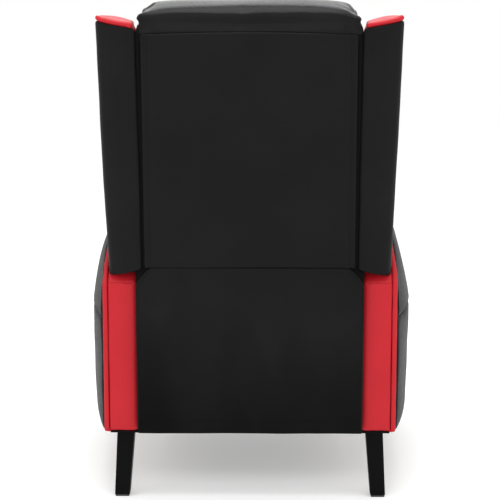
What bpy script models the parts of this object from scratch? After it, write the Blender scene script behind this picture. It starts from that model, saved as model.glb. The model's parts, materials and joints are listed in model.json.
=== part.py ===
"""Wingback push-back recliner: arms, seat, backrest with two wings, and a folding footrest.

Lengths are metres and +Z is up. The chair faces -Y, so the sitter's left side is +X.
The origin lies on the floor, under the middle of the chair.
"""
import math

import bmesh
import bpy
from mathutils import Vector

# Gaps between pieces
GAP = 0.0003                    # between two pieces that touch
PIN_PLAY = 0.0006               # round a pin, in the hole that it turns in
LAYER_GAP = 0.0006              # between two links that slide past each other

# Width that the other widths follow
BACK_HALF = 0.2165              # from the middle plane to the back cushions' sides

# Arms
ARM_BOTTOM = 0.142              # underside, on the legs
ARM_FRONT_TOP = 0.600
ARM_CHAMFER_RUN = 0.125         # the slope above the rear face rises as far as it runs
ARM_CHAMFER_FOOT = 0.455        # where that slope starts
ARM_FRONT = 0.400               # from the origin to the front face
ARM_REAR = 0.285                # from the origin to the rear face
ARM_CLEAR = 0.0215              # from the back cushions to the arm's inner face, at the rear
ARM_FLARE = 0.018               # the inner face lies further out by this at the front
ARM_INNER_REAR = BACK_HALF + ARM_CLEAR
ARM_INNER_FRONT = ARM_INNER_REAR + ARM_FLARE
ARM_WIDTH_REAR = 0.0645         # without the bulge of the outer side
ARM_WIDTH_FRONT = 0.060
ARM_OUTER_REAR = ARM_INNER_REAR + ARM_WIDTH_REAR
ARM_OUTER_FRONT = ARM_INNER_FRONT + ARM_WIDTH_FRONT
ARM_SEAM_DROP = 0.072           # from the slope's foot to the seam below the top pad
ARM_SEAM = ARM_CHAMFER_FOOT - ARM_SEAM_DROP
ARM_BULGE = 0.0395              # how far the padding stands out at that seam
ARM_CROWN_IN = 0.0225           # the top pad's crown moves in by this, up the slope
ARM_SIDE_PAD = 0.014
ARM_INNER_PAD = 0.010
ARM_BAND = 0.012                # front and rear band
ARM_LIP = 0.055                 # top pad's reach down the inner face
ARM_EDGE = 0.008                # soft edge of the arm's pads and bands
BAND_CROWN = 0.003
BAND_TUCK = 0.004               # the rear band's reach in behind the skirt's edge
PANEL_CROWN = 0.0015            # outer panel, beyond the bulge at its seam

# Legs
LEG_PLATE = 0.062
LEG_PLATE_STEEL = 0.004
LEG_TOP = 0.036
LEG_FOOT = 0.031
LEG_INSET_FRONT = 0.036         # from the arm's inner face to the middle of a leg's plate
LEG_INSET_REAR = 0.022
LEG_SPLAY = 0.008
LEG_RAKE = 0.018
LEG_FRONT = 0.300
LEG_REAR = 0.248
GLIDE = 0.004
GLIDE_WIDTH = 0.028

# Rear rail, side rails and cross tube of the base
REAR_RAIL = 0.034
REAR_RAIL_HEIGHT = 0.060
REAR_RAIL_RISE = 0.010          # above the arms' underside
SIDE_RAIL_LENGTH = 0.430
SIDE_RAIL_HEIGHT = 0.085
SIDE_RAIL_DROP = 0.015          # its top, below the side plate's top
CROSS_TUBE_RADIUS = 0.011
CROSS_TUBE_Y = 0.030
CROSS_TUBE_DROP = 0.080

# Side plates of the mechanism
PLATE_CLEAR = 0.018             # from the back cushions
PLATE_INNER_X = BACK_HALF + PLATE_CLEAR
PLATE_STEEL = 0.003
PLATE_DEPTH = 0.115
PLATE_REAR = 0.215
PLATE_FRONT_REACH = 0.0295      # in front of the drive pivot
EAR_WIDTH = 0.046               # the part that carries the back hinge
EAR_RISE = 0.022                # above that hinge
EAR_SLOPE = 0.012

# Seat
FRAME_TOP = 0.345
FRAME_HEIGHT = 0.045
FRAME_CLEAR = 0.013             # from the side plates
FRAME_HALF = PLATE_INNER_X - FRAME_CLEAR
FRAME_FRONT = 0.345
FRAME_REAR = 0.120
FRAME_SIDE_RAIL = 0.046
FRAME_CROSS_RAIL = 0.045
FRAME_EAR = 0.100               # length of the lugs that meet the side plates
SPRING_COUNT = 4
SPRING_WIRE = 0.004
SPRING_SWING = 0.022
SPRING_WAVES = 7
SPRING_REST = 0.012             # how far a spring lies on each cross rail
SEAT_FRONT = 0.410
SEAT_REAR = 0.122
SEAT_THICK = 0.110
SEAT_EDGE = 0.030
SEAT_CROWN = 0.014
SEAT_SIDE_CLEAR = 0.004
SEAT_DRAW = 0.006               # sides drawn in between the corners
SEAT_CHANNEL = 0.007
SEAT_CHANNEL_X = 0.115
SEAT_ROLL_SEAM = 0.070          # from the front edge to the seam of the front roll
CHANNEL_HALF = 0.012            # half the width of a sewn channel

# Backrest, in its own upright frame: the hinge is the origin, +Y is the rear side
HINGE_Y = 0.185
HINGE_Z = 0.400
BACK_LEAN = math.radians(12)
HINGE_PIN = 0.006
HINGE_HEAD = 0.010
HINGE_HEAD_THICK = 0.002
BRACKET_STEEL = 0.004
BRACKET_EYE = 0.016
BRACKET_TOP = 0.100
BRACKET_FOOT = 0.010
UPRIGHT_PROUD = 0.0033          # beyond the cushions
UPRIGHT_OUTER = BACK_HALF + UPRIGHT_PROUD
UPRIGHT_WIDTH = 0.034
UPRIGHT_FRONT = 0.030
UPRIGHT_DEPTH = 0.0573
UPRIGHT_FOOT = 0.030            # below the hinge
BACK_FRAME_TOP = 0.598
TOP_RAIL = 0.043
BOTTOM_RAIL = 0.050
BOTTOM_RAIL_FOOT = 0.020
WEBBING = 0.0032
WEBBING_EDGE = 0.014            # from the webbing to the frame's outer edge
WEBBING_FOOT = 0.030
WEBBING_TOP = 0.585
LUMBAR_FOOT = 0.020
LUMBAR_TOP = 0.200
CHEST_TOP = 0.440
CUSHION_FRONT = 0.045           # front face at its edges, before the crown
LUMBAR_CROWN = 0.020
CHEST_CROWN = 0.016
BACK_EDGE = 0.022
BACK_DRAW = 0.005
BACK_CHANNEL = 0.007
BACK_CHANNEL_X = 0.115
HEAD_TOP = 0.650
HEAD_REAR = 0.100
HEAD_FRONT = 0.082
HEAD_EDGE = 0.014
HEAD_DRAW = 0.009
COVER_FOOT = 0.113
COVER_TOP = 0.600
COVER_THICK = 0.0097
COVER_INSET = 0.002             # from the cushions' sides
COVER_TAPER = 0.004             # narrower by this at the top
COVER_HALF_FOOT = BACK_HALF - COVER_INSET
COVER_HALF_TOP = COVER_HALF_FOOT - COVER_TAPER
COVER_CROWN = 0.002

# Wings, in the backrest's frame
WING_CLEAR = 0.0035             # from the cushions to the rear inner seam
WING_WIDTH = 0.069              # from that seam to the outer side
WING_REAR_X = BACK_HALF + WING_CLEAR
WING_OUTER_X = WING_REAR_X + WING_WIDTH
WING_REAR_Y = 0.090
WING_OUTER_Y = 0.074            # the rear face's outer edge, behind the hinge plane
WING_FRONT_Y = 0.052            # the front face, in front of the hinge plane
WING_SPLAY = 0.014              # the inner side leaves the cushion by this, rear to front
WING_SPREAD = 0.009             # the outer side leans out by this, foot to top
WING_CORNER = 0.014
WING_NOSE = 0.022
WING_BULGE = 0.006
WING_REAR_FOOT = 0.104
WING_FOOT_FALL = 0.0225         # of the foot, from the inner seam to the rear outer corner
WING_FRONT_FOOT = 0.186
WING_TOP = 0.608
WING_TOP_RISE = 0.011           # from the inner seam to the outer side
WING_TOP_FALL = 0.020           # from the rear face to the front face
WING_DOME = 0.013
WING_COVER = 0.004

# Rear skirt
SKIRT_PROUD = 0.016             # beyond the cushions
SKIRT_HALF = BACK_HALF + SKIRT_PROUD
SKIRT_TOP = 0.4898
SKIRT_FOOT_REAR = 0.297
SKIRT_SHOULDER = 0.040          # height of the rounded upper corners
SKIRT_SHOULDER_RUN = 0.033
SKIRT_EDGE = 0.004

# Footrest and its linkage, closed: pivots at (distance in front of the origin, height)
DRIVE_PIVOT = (0.2805, 0.3242)
REAR_PIVOT = (0.1225, 0.2527)
CROSSING = (0.1945, 0.2354)
FRONT_LINK_PIVOT = (0.1404, 0.1794)
REAR_LINK_PIVOT = (0.0312, 0.1648)
FOOTREST_PIVOT = (0.3553, 0.3049)
FOOTREST_LOWER_PIVOT = (0.3552, 0.1949)
LINK_STEEL = 0.003
LINK_RADIUS = 0.011
PIN = 0.004
PIN_HEAD = 0.007
PIN_HEAD_THICK = 0.002
BRACKET_HALF = 0.012            # footrest bracket, each side of its pivots
BRACKET_REACH = 0.015           # beyond its pivots, up and down
FLANGE = 0.020
BOARD = 0.012
BOARD_CLEAR = 0.0025            # from the side plates
BOARD_HALF = PLATE_INNER_X - BOARD_CLEAR
BOARD_TOP = 0.335
BOARD_FOOT = 0.150
FOOTREST_PAD = 0.0357
FOOTREST_LAP = 0.014            # beyond the board, at each side
FOOTREST_HALF = BOARD_HALF + FOOTREST_LAP
FOOTREST_TOP = 0.340
FOOTREST_FOOT = 0.146
FOOTREST_EDGE = 0.014
FOOTREST_CROWN = 0.004
FOOTREST_DRAW = 0.003

# Counts
PIN_SIDES = 12
ARC_POINTS = 6
SIDES = (("left", 1), ("right", -1))

# Finishes: colour, roughness, metallic
BLACK_LEATHER = ("black_leather", (0.018, 0.018, 0.019), 0.46, 0.0)
GLOSS_LEATHER = ("gloss_leather", (0.022, 0.022, 0.024), 0.30, 0.0)
RED_LEATHER = ("red_leather", (0.56, 0.030, 0.040), 0.42, 0.0)
TIMBER = ("timber", (0.52, 0.36, 0.20), 0.65, 0.0)
BLACK_STEEL = ("black_steel", (0.015, 0.015, 0.016), 0.38, 1.0)
ZINC_STEEL = ("zinc_steel", (0.45, 0.45, 0.46), 0.35, 1.0)
SPRING_STEEL = ("spring_steel", (0.20, 0.20, 0.21), 0.30, 1.0)
WEB = ("webbing", (0.08, 0.08, 0.085), 0.80, 0.0)
NYLON = ("nylon", (0.02, 0.02, 0.02), 0.55, 0.0)


# Helpers

def material(finish):
    """The material of a finish, made once."""
    name, colour, roughness, metallic = finish
    found = bpy.data.materials.get(name)
    if found:
        return found
    made = bpy.data.materials.new(name)
    made.use_nodes = True
    shader = made.node_tree.nodes["Principled BSDF"]
    shader.inputs["Base Color"].default_value = (*colour, 1.0)
    shader.inputs["Roughness"].default_value = roughness
    shader.inputs["Metallic"].default_value = metallic
    return made


def add_object(name, data, finish, parent=None, origin=None):
    """Link one sub-part. Its origin moves to the given point, on its joint's axis."""
    data.materials.append(material(finish))
    made = bpy.data.objects.new(name, data)
    if origin is not None:
        made.location = origin
    if parent:
        made.parent = parent
        made.location = Vector((0, 0, 0))
    bpy.context.scene.collection.objects.link(made)
    return made


def add_solid(name, solid, finish, parent=None, origin=None, crease=35):
    """Turn a bmesh into a named object with outward faces and soft shading."""
    if origin is not None:
        bmesh.ops.translate(solid, verts=solid.verts, vec=-Vector(origin))
    bmesh.ops.recalc_face_normals(solid, faces=solid.faces)
    mesh = bpy.data.meshes.new(name)
    solid.to_mesh(mesh)
    solid.free()
    mesh.shade_smooth()
    mesh.set_sharp_from_angle(angle=math.radians(crease))
    return add_object(name, mesh, finish, parent, origin)


def add_empty(name, place, tilt=0):
    """An empty on a joint's axis, which carries the pieces that move with it."""
    made = bpy.data.objects.new(name, None)
    made.location = place
    made.rotation_euler = (tilt, 0, 0)
    bpy.context.scene.collection.objects.link(made)
    return made


def mix(first, second, share):
    """The value at a share of the way from first to second."""
    return first + (second - first) * share


def grid_lines(low, high, edge, middle=()):
    """Lines of a grid along one side: two steps round each soft edge, and those between."""
    step = edge * math.tan(math.pi / 8)
    ends = [low, low + edge - step, low + edge, high - edge, high - edge + step, high]
    return sorted({round(value, 6) for value in [*ends, *middle]})


def even_lines(low, high, count):
    """Evenly spaced values between low and high, without the two ends."""
    return [mix(low, high, (index + 1) / (count + 1)) for index in range(count)]


def channel_lines(middle):
    """Grid lines across one sewn channel."""
    return [middle - CHANNEL_HALF, middle, middle + CHANNEL_HALF]


def rounded_block(lines, edge, shape):
    """Closed grid on a box with soft edges. Each of its points is then moved by shape."""
    solid = bmesh.new()
    made = {}
    last = [len(row) - 1 for row in lines]

    def corner(key):
        if key not in made:
            place = Vector([row[index] for row, index in zip(lines, key)])
            core = Vector([min(max(value, row[0] + edge), row[-1] - edge)
                           for value, row in zip(place, lines)])
            offset = place - core
            made[key] = solid.verts.new(shape(core + offset.normalized() * edge))
        return made[key]

    for axis in range(3):
        across, along = (axis + 1) % 3, (axis + 2) % 3
        for end in (0, last[axis]):
            for first in range(last[across]):
                for second in range(last[along]):
                    corners = []
                    for step, rise in ((0, 0), (1, 0), (1, 1), (0, 1)):
                        key = [end] * 3
                        key[across] = first + step
                        key[along] = second + rise
                        corners.append(corner(tuple(key)))
                    solid.faces.new(corners)
    return solid


def loft(rings):
    """Closed body through rings of equally many points, with flat ends."""
    solid = bmesh.new()
    loops = [[solid.verts.new(point) for point in ring] for ring in rings]
    for near, far in zip(loops, loops[1:]):
        for index, start in enumerate(near):
            after = (index + 1) % len(near)
            solid.faces.new((start, near[after], far[after], far[index]))
    solid.faces.new(loops[0])
    solid.faces.new(loops[-1])
    return solid


def box(low, high):
    """Plain board with square edges, from its lowest to its highest corner."""
    rings = []
    for x in (low[0], high[0]):
        rings.append([(x, low[1], low[2]), (x, high[1], low[2]),
                      (x, high[1], high[2]), (x, low[1], high[2])])
    return loft(rings)


def circle(centre, radius, sides=PIN_SIDES):
    """Points of a circle about a centre in a plate's plane."""
    turns = [2 * math.pi * index / sides for index in range(sides)]
    return [(centre[0] + radius * math.cos(turn), centre[1] + radius * math.sin(turn))
            for turn in turns]


def bar_outline(start, end, radius):
    """Outline of a straight link with round ends about two pivots."""
    heading = math.atan2(end[1] - start[1], end[0] - start[0])
    points = []
    for centre, first in ((end, heading - math.pi / 2), (start, heading + math.pi / 2)):
        for index in range(ARC_POINTS + 1):
            turn = first + math.pi * index / ARC_POINTS
            points.append((centre[0] + radius * math.cos(turn),
                           centre[1] + radius * math.sin(turn)))
    return points


def plate(outline, low, high, place, holes=(), studs=()):
    """Flat plate between two levels, with holes through it and turned studs on its faces.

    An outline point (a, b) at level c becomes place(a, b, c). A stud is its centre, the face
    that it stands on ("low" or "high"), and its radius at each distance from that face.
    """
    solid = bmesh.new()

    def ring(points, level):
        return [solid.verts.new(place(a, b, level)) for a, b in points]

    def join(near, far):
        for index, start in enumerate(near):
            after = (index + 1) % len(near)
            solid.faces.new((start, near[after], far[after], far[index]))

    faces = {"low": [], "high": []}
    for points in [outline, *holes]:
        near, far = ring(points, low), ring(points, high)
        join(near, far)
        faces["low"].append(near)
        faces["high"].append(far)
    for centre, face, profile in studs:
        level, away = (low, -1) if face == "low" else (high, 1)
        rings = [ring(circle(centre, radius), level + away * rise) for radius, rise in profile]
        for near, far in zip(rings, rings[1:]):
            join(near, far)
        solid.faces.new(rings[-1])
        faces[face].append(rings[0])
    for loops in faces.values():
        edges = [solid.edges.get((points[index - 1], points[index]))
                 for points in loops for index in range(len(points))]
        bmesh.ops.triangle_fill(solid, use_beauty=True, edges=edges)
    return solid


def pin_stud(centre, face, length, grip=None, radius=PIN, head=PIN_HEAD, thick=PIN_HEAD_THICK):
    """A rivet on a plate. With a grip, a head stands behind the plate that turns on it."""
    if grip is None:
        return centre, face, [(radius, 0), (radius, length)]
    return centre, face, [(radius, 0), (radius, length), (head, length), (head, length + thick)]


# Arms

def arm_share(y):
    """How far along the arm a place is, from its rear face to its front face."""
    return (ARM_REAR - y) / (ARM_REAR + ARM_FRONT)


def arm_inner(y):
    return mix(ARM_INNER_REAR, ARM_INNER_FRONT, arm_share(y))


def arm_outer(y):
    return mix(ARM_OUTER_REAR, ARM_OUTER_FRONT, arm_share(y))


def arm_profile(y):
    """Height of the arm's top, or of its rear slope."""
    slope_end = ARM_REAR - ARM_CHAMFER_RUN
    slope_top = ARM_CHAMFER_FOOT + ARM_CHAMFER_RUN
    if y > slope_end:
        return ARM_CHAMFER_FOOT + ARM_REAR - y
    return mix(slope_top, ARM_FRONT_TOP, (slope_end - y) / (slope_end + ARM_FRONT))


def side_fullness(y):
    """The padding's fullness along the arm: none at the rear band, all of it at the front."""
    return 1 - (1 - min(1.0, arm_share(y))) ** 6


def core_top(y):
    """The timber core ends half way up the top pad."""
    return mix(ARM_SEAM, arm_profile(y), 0.5)


def lip_height(y):
    return arm_profile(y) - ARM_LIP


def roll_x(y, share):
    """Outer surface of the top pad, at a share of its height above the seam."""
    rolled = 1 - (1 - share ** 1.3) ** 0.625
    full = arm_outer(y) + side_fullness(y) * ARM_BULGE
    up_slope = min(1.0, (ARM_REAR - y) / ARM_CHAMFER_RUN)
    return mix(full, ARM_OUTER_REAR - ARM_CROWN_IN * up_slope ** 2.5, rolled)


ROLL_SHARES = (1.0, 0.98, 0.93, 0.84, 0.7, 0.5, 0.3, 0.14, 0.0)
LIP_SHARES = ((0.0, 0.0), (0.03, 0.5), (0.12, 0.78), (0.35, 0.94), (0.7, 1.0))
BAND_SHARES = ((0.0, 0.5), (0.06, 0.85), (0.5, 1.0), (0.86, 0.85), (0.97, 0.6), (1.0, 0.2))


def pad_outline(y, top):
    """The top pad's skin across the arm: up from the inner lip, over, and down to the seam."""
    lip, inner = lip_height(y), arm_inner(y)
    crown = roll_x(y, 1.0)
    points = [(mix(inner, crown, across), mix(lip, top, up)) for across, up in LIP_SHARES]
    return points + [(roll_x(y, share), mix(ARM_SEAM, top, share)) for share in ROLL_SHARES]


def make_arm(side, sign):
    band_front = -ARM_FRONT + ARM_BAND
    band_rear = ARM_REAR - ARM_BAND
    slope_end = ARM_REAR - ARM_CHAMFER_RUN
    near_rear, near_front = band_rear - GAP, band_front + GAP

    # Core: one plain panel in the middle of the arm
    rings = []
    for y in (near_rear, slope_end, near_front):
        inner, outer = arm_inner(y) + ARM_INNER_PAD + GAP, arm_outer(y) - ARM_SIDE_PAD - GAP
        rings.append([(sign * inner, y, ARM_BOTTOM), (sign * outer, y, ARM_BOTTOM),
                      (sign * outer, y, core_top(y)), (sign * inner, y, core_top(y))])
    add_solid(f"arm_core_{side}", loft(rings), TIMBER)

    # Inner panel: a thin padded sheet on the seat's side
    rings = []
    for y in (near_rear, slope_end, near_front):
        inner, outer = arm_inner(y), arm_inner(y) + ARM_INNER_PAD
        top = lip_height(y) - GAP
        rings.append([(sign * inner, y, ARM_BOTTOM), (sign * outer, y, ARM_BOTTOM),
                      (sign * outer, y, top), (sign * inner, y, top)])
    add_solid(f"arm_inner_panel_{side}", loft(rings), BLACK_LEATHER)

    # Outer panel: padded, below the seam
    def outer_shape(place):
        depth = place.x / ARM_SIDE_PAD
        height = (place.z - ARM_BOTTOM) / (ARM_SEAM - ARM_BOTTOM)
        swell = ARM_BULGE + PANEL_CROWN * math.sin(math.pi * min(1.0, max(0.0, height)))
        x = arm_outer(place.y) - ARM_SIDE_PAD + place.x + depth * side_fullness(place.y) * swell
        return Vector((sign * x, place.y, place.z))

    rows = [grid_lines(0, ARM_SIDE_PAD, ARM_EDGE / 2),
            grid_lines(near_front, near_rear, ARM_EDGE / 2, even_lines(near_front, near_rear, 12)),
            grid_lines(ARM_BOTTOM, ARM_SEAM - GAP, ARM_EDGE / 2,
                       even_lines(ARM_BOTTOM, ARM_SEAM, 4))]
    add_solid(f"arm_outer_panel_{side}", rounded_block(rows, ARM_EDGE / 2, outer_shape),
              BLACK_LEATHER)

    # Top pad: rolled over the top and the outer side, thinner under the rear band
    under_band = (ARM_BAND + GAP) * math.sqrt(2)
    stations = [(y, 0) for y in [near_front, *even_lines(near_front, slope_end, 7), slope_end - GAP]]
    stations += [(mix(slope_end, near_rear, share), under_band) for share in (0, 0.35, 0.7, 1)]
    rings = []
    for y, sunk in stations:
        inner, outer = arm_inner(y) + ARM_INNER_PAD + GAP, arm_outer(y) - ARM_SIDE_PAD
        ring = pad_outline(y, arm_profile(y) - sunk)
        ring += [(outer, ARM_SEAM), (outer, core_top(y) + GAP), (inner, core_top(y) + GAP),
                 (inner, lip_height(y))]
        rings.append([(sign * x, y, z) for x, z in ring])
    add_solid(f"arm_top_pad_{side}", loft(rings), BLACK_LEATHER)

    # Front band: the arm's whole outline, with a soft front edge
    rings = []
    for y, inset in ((band_front, 0), (-ARM_FRONT + ARM_EDGE, 0),
                     (-ARM_FRONT + ARM_EDGE / 3, ARM_EDGE / 4), (-ARM_FRONT, ARM_EDGE)):
        skin = pad_outline(y, arm_profile(y))
        outer = skin[-1][0]
        ring = [(arm_inner(y), ARM_BOTTOM), *skin, (outer, ARM_BOTTOM)]
        middle_x, middle_z = mix(arm_inner(y), outer, 0.5), mix(ARM_BOTTOM, ARM_FRONT_TOP, 0.5)
        wide, tall = outer - arm_inner(y), ARM_FRONT_TOP - ARM_BOTTOM
        rings.append([(sign * mix(x, middle_x, 2 * inset / wide), y,
                       mix(z, middle_z, 2 * inset / tall)) for x, z in ring])
    add_solid(f"arm_front_band_{side}", loft(rings), RED_LEATHER)

    # Rear band: up the rear face and on along the slope, where it is cut upright
    path = [(ARM_REAR, ARM_BOTTOM, 1, 0),
            (ARM_REAR, mix(ARM_BOTTOM, ARM_CHAMFER_FOOT, 0.5), 1, 0),
            (ARM_REAR, ARM_CHAMFER_FOOT, 1, math.tan(math.pi / 8))]
    for share in (0.3, 0.65):
        rise = ARM_CHAMFER_RUN * share
        path.append((ARM_REAR - rise, ARM_CHAMFER_FOOT + rise, math.sqrt(0.5), math.sqrt(0.5)))
    path.append((slope_end + GAP, ARM_CHAMFER_FOOT + ARM_CHAMFER_RUN - GAP, 0, math.sqrt(2)))
    rings = []
    for y, z, away_y, away_z in path:
        inner = mix(SKIRT_HALF - BAND_TUCK, arm_inner(slope_end), (ARM_REAR - y) / ARM_CHAMFER_RUN)
        ring = []
        for across, out in BAND_SHARES:
            sunk = BAND_CROWN * (1 - out)
            x = mix(inner, roll_x(y, 1.0), across)
            ring.append((sign * x, y - away_y * sunk, z - away_z * sunk))
        for x in (roll_x(y, 1.0), inner):
            ring.append((sign * x, y - away_y * ARM_BAND, z - away_z * ARM_BAND))
        rings.append(ring)
    add_solid(f"arm_rear_band_{side}", loft(rings), RED_LEATHER)


# Legs and base

def make_leg(side, sign, end, x, y, rake):
    """Steel leg with a welded top plate, leaning out and away from the seat."""
    plate_top = ARM_BOTTOM - GAP
    plate_foot = plate_top - LEG_PLATE_STEEL
    foot = GLIDE + GAP
    foot_x, foot_y = x + LEG_SPLAY, y + rake

    def square(out, back, z, width):
        half = width / 2
        return [(sign * out - half, back - half, z), (sign * out + half, back - half, z),
                (sign * out + half, back + half, z), (sign * out - half, back + half, z)]

    rings = [square(x, y, plate_top, LEG_PLATE), square(x, y, plate_foot, LEG_PLATE),
             square(x, y, plate_foot, LEG_TOP), square(foot_x, foot_y, foot, LEG_FOOT)]
    add_solid(f"leg_{end}_{side}", loft(rings), BLACK_STEEL)
    rings = [square(foot_x, foot_y, GLIDE, GLIDE_WIDTH), square(foot_x, foot_y, 0, GLIDE_WIDTH)]
    add_solid(f"leg_glide_{end}_{side}", loft(rings), NYLON)


def make_base_rails():
    rear = ARM_REAR - ARM_BAND - GAP
    half_rear = arm_inner(rear) - GAP
    low = ARM_BOTTOM + REAR_RAIL_RISE
    add_solid("rear_rail", box((-half_rear, rear - REAR_RAIL, low),
                               (half_rear, rear, low + REAR_RAIL_HEIGHT)), TIMBER)

    reach = PLATE_INNER_X - GAP
    height = FRAME_TOP - CROSS_TUBE_DROP
    rings = [[(x, CROSS_TUBE_Y + a, height + b) for a, b in circle((0, 0), CROSS_TUBE_RADIUS)]
             for x in (-reach, reach)]
    add_solid("cross_tube", loft(rings), BLACK_STEEL)

    front = -DRIVE_PIVOT[0] - PLATE_FRONT_REACH
    top = FRAME_TOP - SIDE_RAIL_DROP
    inner = PLATE_INNER_X + PLATE_STEEL + GAP
    for side, sign in SIDES:
        rings = []
        for y in (front, front + SIDE_RAIL_LENGTH):
            outer = arm_inner(y) - GAP
            rings.append([(sign * inner, y, top), (sign * outer, y, top),
                          (sign * outer, y, top - SIDE_RAIL_HEIGHT),
                          (sign * inner, y, top - SIDE_RAIL_HEIGHT)])
        add_solid(f"side_rail_{side}", loft(rings), TIMBER)


def make_side_plate(side, sign):
    """Steel plate with the drive and rear pivots, and an ear with the back hinge's hole."""
    top, foot = FRAME_TOP, FRAME_TOP - PLATE_DEPTH
    front = -DRIVE_PIVOT[0] - PLATE_FRONT_REACH
    ear_front, ear_rear = HINGE_Y - EAR_WIDTH / 2, HINGE_Y + EAR_WIDTH / 2
    ear_top = HINGE_Z + EAR_RISE
    outline = [(front, foot), (PLATE_REAR, foot), (PLATE_REAR, top), (ear_rear, ear_top),
               (ear_front, ear_top), (ear_front - EAR_SLOPE, top), (front, top)]
    reach = LAYER_GAP + LINK_STEEL + LAYER_GAP
    studs = [pin_stud((-y, z), "low", reach, grip=True) for y, z in (DRIVE_PIVOT, REAR_PIVOT)]
    solid = plate(outline, PLATE_INNER_X, PLATE_INNER_X + PLATE_STEEL,
                  lambda a, b, level: (sign * level, a, b),
                  holes=[circle((HINGE_Y, HINGE_Z), HINGE_PIN + PIN_PLAY)], studs=studs)
    add_solid(f"side_plate_{side}", solid, ZINC_STEEL)


# Seat

def make_seat_frame():
    """Ring of rails, with a lug at each rear corner that meets the side plates."""
    half, lug = FRAME_HALF, PLATE_INNER_X - GAP
    lug_front = FRAME_REAR - FRAME_EAR
    outline = [(-half, -FRAME_FRONT), (half, -FRAME_FRONT), (half, lug_front), (lug, lug_front),
               (lug, FRAME_REAR), (-lug, FRAME_REAR), (-lug, lug_front), (-half, lug_front)]
    inner, front = half - FRAME_SIDE_RAIL, -FRAME_FRONT + FRAME_CROSS_RAIL
    rear = FRAME_REAR - FRAME_CROSS_RAIL
    hole = [(-inner, front), (inner, front), (inner, rear), (-inner, rear)]
    solid = plate(outline, FRAME_TOP - FRAME_HEIGHT, FRAME_TOP,
                  lambda a, b, level: (a, b, level), holes=[hole])
    add_solid("seat_frame", solid, TIMBER)


def make_seat_springs():
    """Zigzag springs from the front rail to the rear rail, lying on both."""
    front = -FRAME_FRONT + FRAME_CROSS_RAIL - SPRING_REST
    rear = FRAME_REAR - FRAME_CROSS_RAIL + SPRING_REST
    height = FRAME_TOP + GAP + SPRING_WIRE / 2
    steps = 4 * SPRING_WAVES
    spacing = (FRAME_HALF - FRAME_SIDE_RAIL) / 2
    for number in range(SPRING_COUNT):
        middle = (number - (SPRING_COUNT - 1) / 2) * spacing
        curve = bpy.data.curves.new(f"seat_spring_{number + 1}", "CURVE")
        curve.dimensions = "3D"
        curve.bevel_depth = SPRING_WIRE / 2
        curve.bevel_resolution = 1
        curve.use_fill_caps = True
        spline = curve.splines.new("POLY")
        spline.points.add(steps)
        for index, point in enumerate(spline.points):
            swing = SPRING_SWING * math.sin(math.pi * index / 2)
            point.co = (middle + swing, mix(front, rear, index / steps), height, 1)
        add_object(curve.name, curve, SPRING_STEEL)


def make_seat_cushion():
    low = FRAME_TOP + GAP + SPRING_WIRE + GAP
    high = low + SEAT_THICK
    half = ARM_INNER_FRONT
    seam = -SEAT_FRONT + SEAT_ROLL_SEAM

    def dip(distance):
        return SEAT_CHANNEL * math.exp(-(2 * distance / CHANNEL_HALF) ** 2)

    def shape(place):
        across = place.x / half
        along = (place.y + SEAT_FRONT) / (SEAT_FRONT + SEAT_REAR) * 2 - 1
        up = (place.z - low) / SEAT_THICK
        width = arm_inner(place.y) - SEAT_SIDE_CLEAR
        drawn = SEAT_DRAW * math.sin(math.pi * up) * (1 - along ** 2)
        x = across * (width - drawn)
        crown = SEAT_CROWN * (1 - across ** 4) * (1 - along ** 6)
        groove = dip(abs(place.x) - SEAT_CHANNEL_X) if place.y > seam else 0
        groove = max(groove, dip(place.y - seam))
        return Vector((x, place.y, place.z + up * (crown - groove)))

    rows = [grid_lines(-half, half, SEAT_EDGE,
                       [*channel_lines(SEAT_CHANNEL_X), *channel_lines(-SEAT_CHANNEL_X), 0]),
            grid_lines(-SEAT_FRONT, SEAT_REAR, SEAT_EDGE,
                       [*channel_lines(seam), *even_lines(seam, SEAT_REAR, 4)]),
            grid_lines(low, high, SEAT_EDGE, [mix(low, high, 0.5)])]
    add_solid("seat_cushion", rounded_block(rows, SEAT_EDGE, shape), BLACK_LEATHER)


# Backrest

def make_back_frame(carrier):
    rear = UPRIGHT_FRONT + UPRIGHT_DEPTH
    inner = UPRIGHT_OUTER - UPRIGHT_WIDTH
    for side, sign in SIDES:
        low_x, high_x = sorted((sign * inner, sign * UPRIGHT_OUTER))
        add_solid(f"back_upright_{side}", box((low_x, UPRIGHT_FRONT, -UPRIGHT_FOOT),
                                              (high_x, rear, BACK_FRAME_TOP)), TIMBER, carrier)
    half = inner - GAP
    for name, low, high in (("back_top_rail", BACK_FRAME_TOP - TOP_RAIL, BACK_FRAME_TOP),
                            ("back_bottom_rail", BOTTOM_RAIL_FOOT, BOTTOM_RAIL_FOOT + BOTTOM_RAIL)):
        add_solid(name, box((-half, UPRIGHT_FRONT, low), (half, rear, high)), TIMBER, carrier)
    half = UPRIGHT_OUTER - WEBBING_EDGE
    front = UPRIGHT_FRONT - GAP - WEBBING
    add_solid("back_webbing", box((-half, front, WEBBING_FOOT),
                                  (half, front + WEBBING, WEBBING_TOP)), WEB, carrier)


def make_hinge_bracket(side, sign, carrier):
    """Plate on the upright, with the stud that turns in the side plate's ear."""
    front, rear = UPRIGHT_FRONT, UPRIGHT_FRONT + UPRIGHT_DEPTH
    outline = [(-BRACKET_EYE, BRACKET_EYE), (-BRACKET_EYE, -BRACKET_EYE), (BRACKET_EYE, -BRACKET_EYE),
               (rear, BRACKET_FOOT), (rear, BRACKET_TOP), (front, BRACKET_TOP)]
    inner = UPRIGHT_OUTER + GAP
    outer = inner + BRACKET_STEEL
    reach = PLATE_INNER_X + PLATE_STEEL + GAP - outer
    stud = pin_stud((0, 0), "high", reach, grip=True, radius=HINGE_PIN, head=HINGE_HEAD,
                    thick=HINGE_HEAD_THICK)
    solid = plate(outline, inner, outer, lambda a, b, level: (sign * level, a, b), studs=[stud])
    add_solid(f"hinge_bracket_{side}", solid, ZINC_STEEL, carrier)


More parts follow.
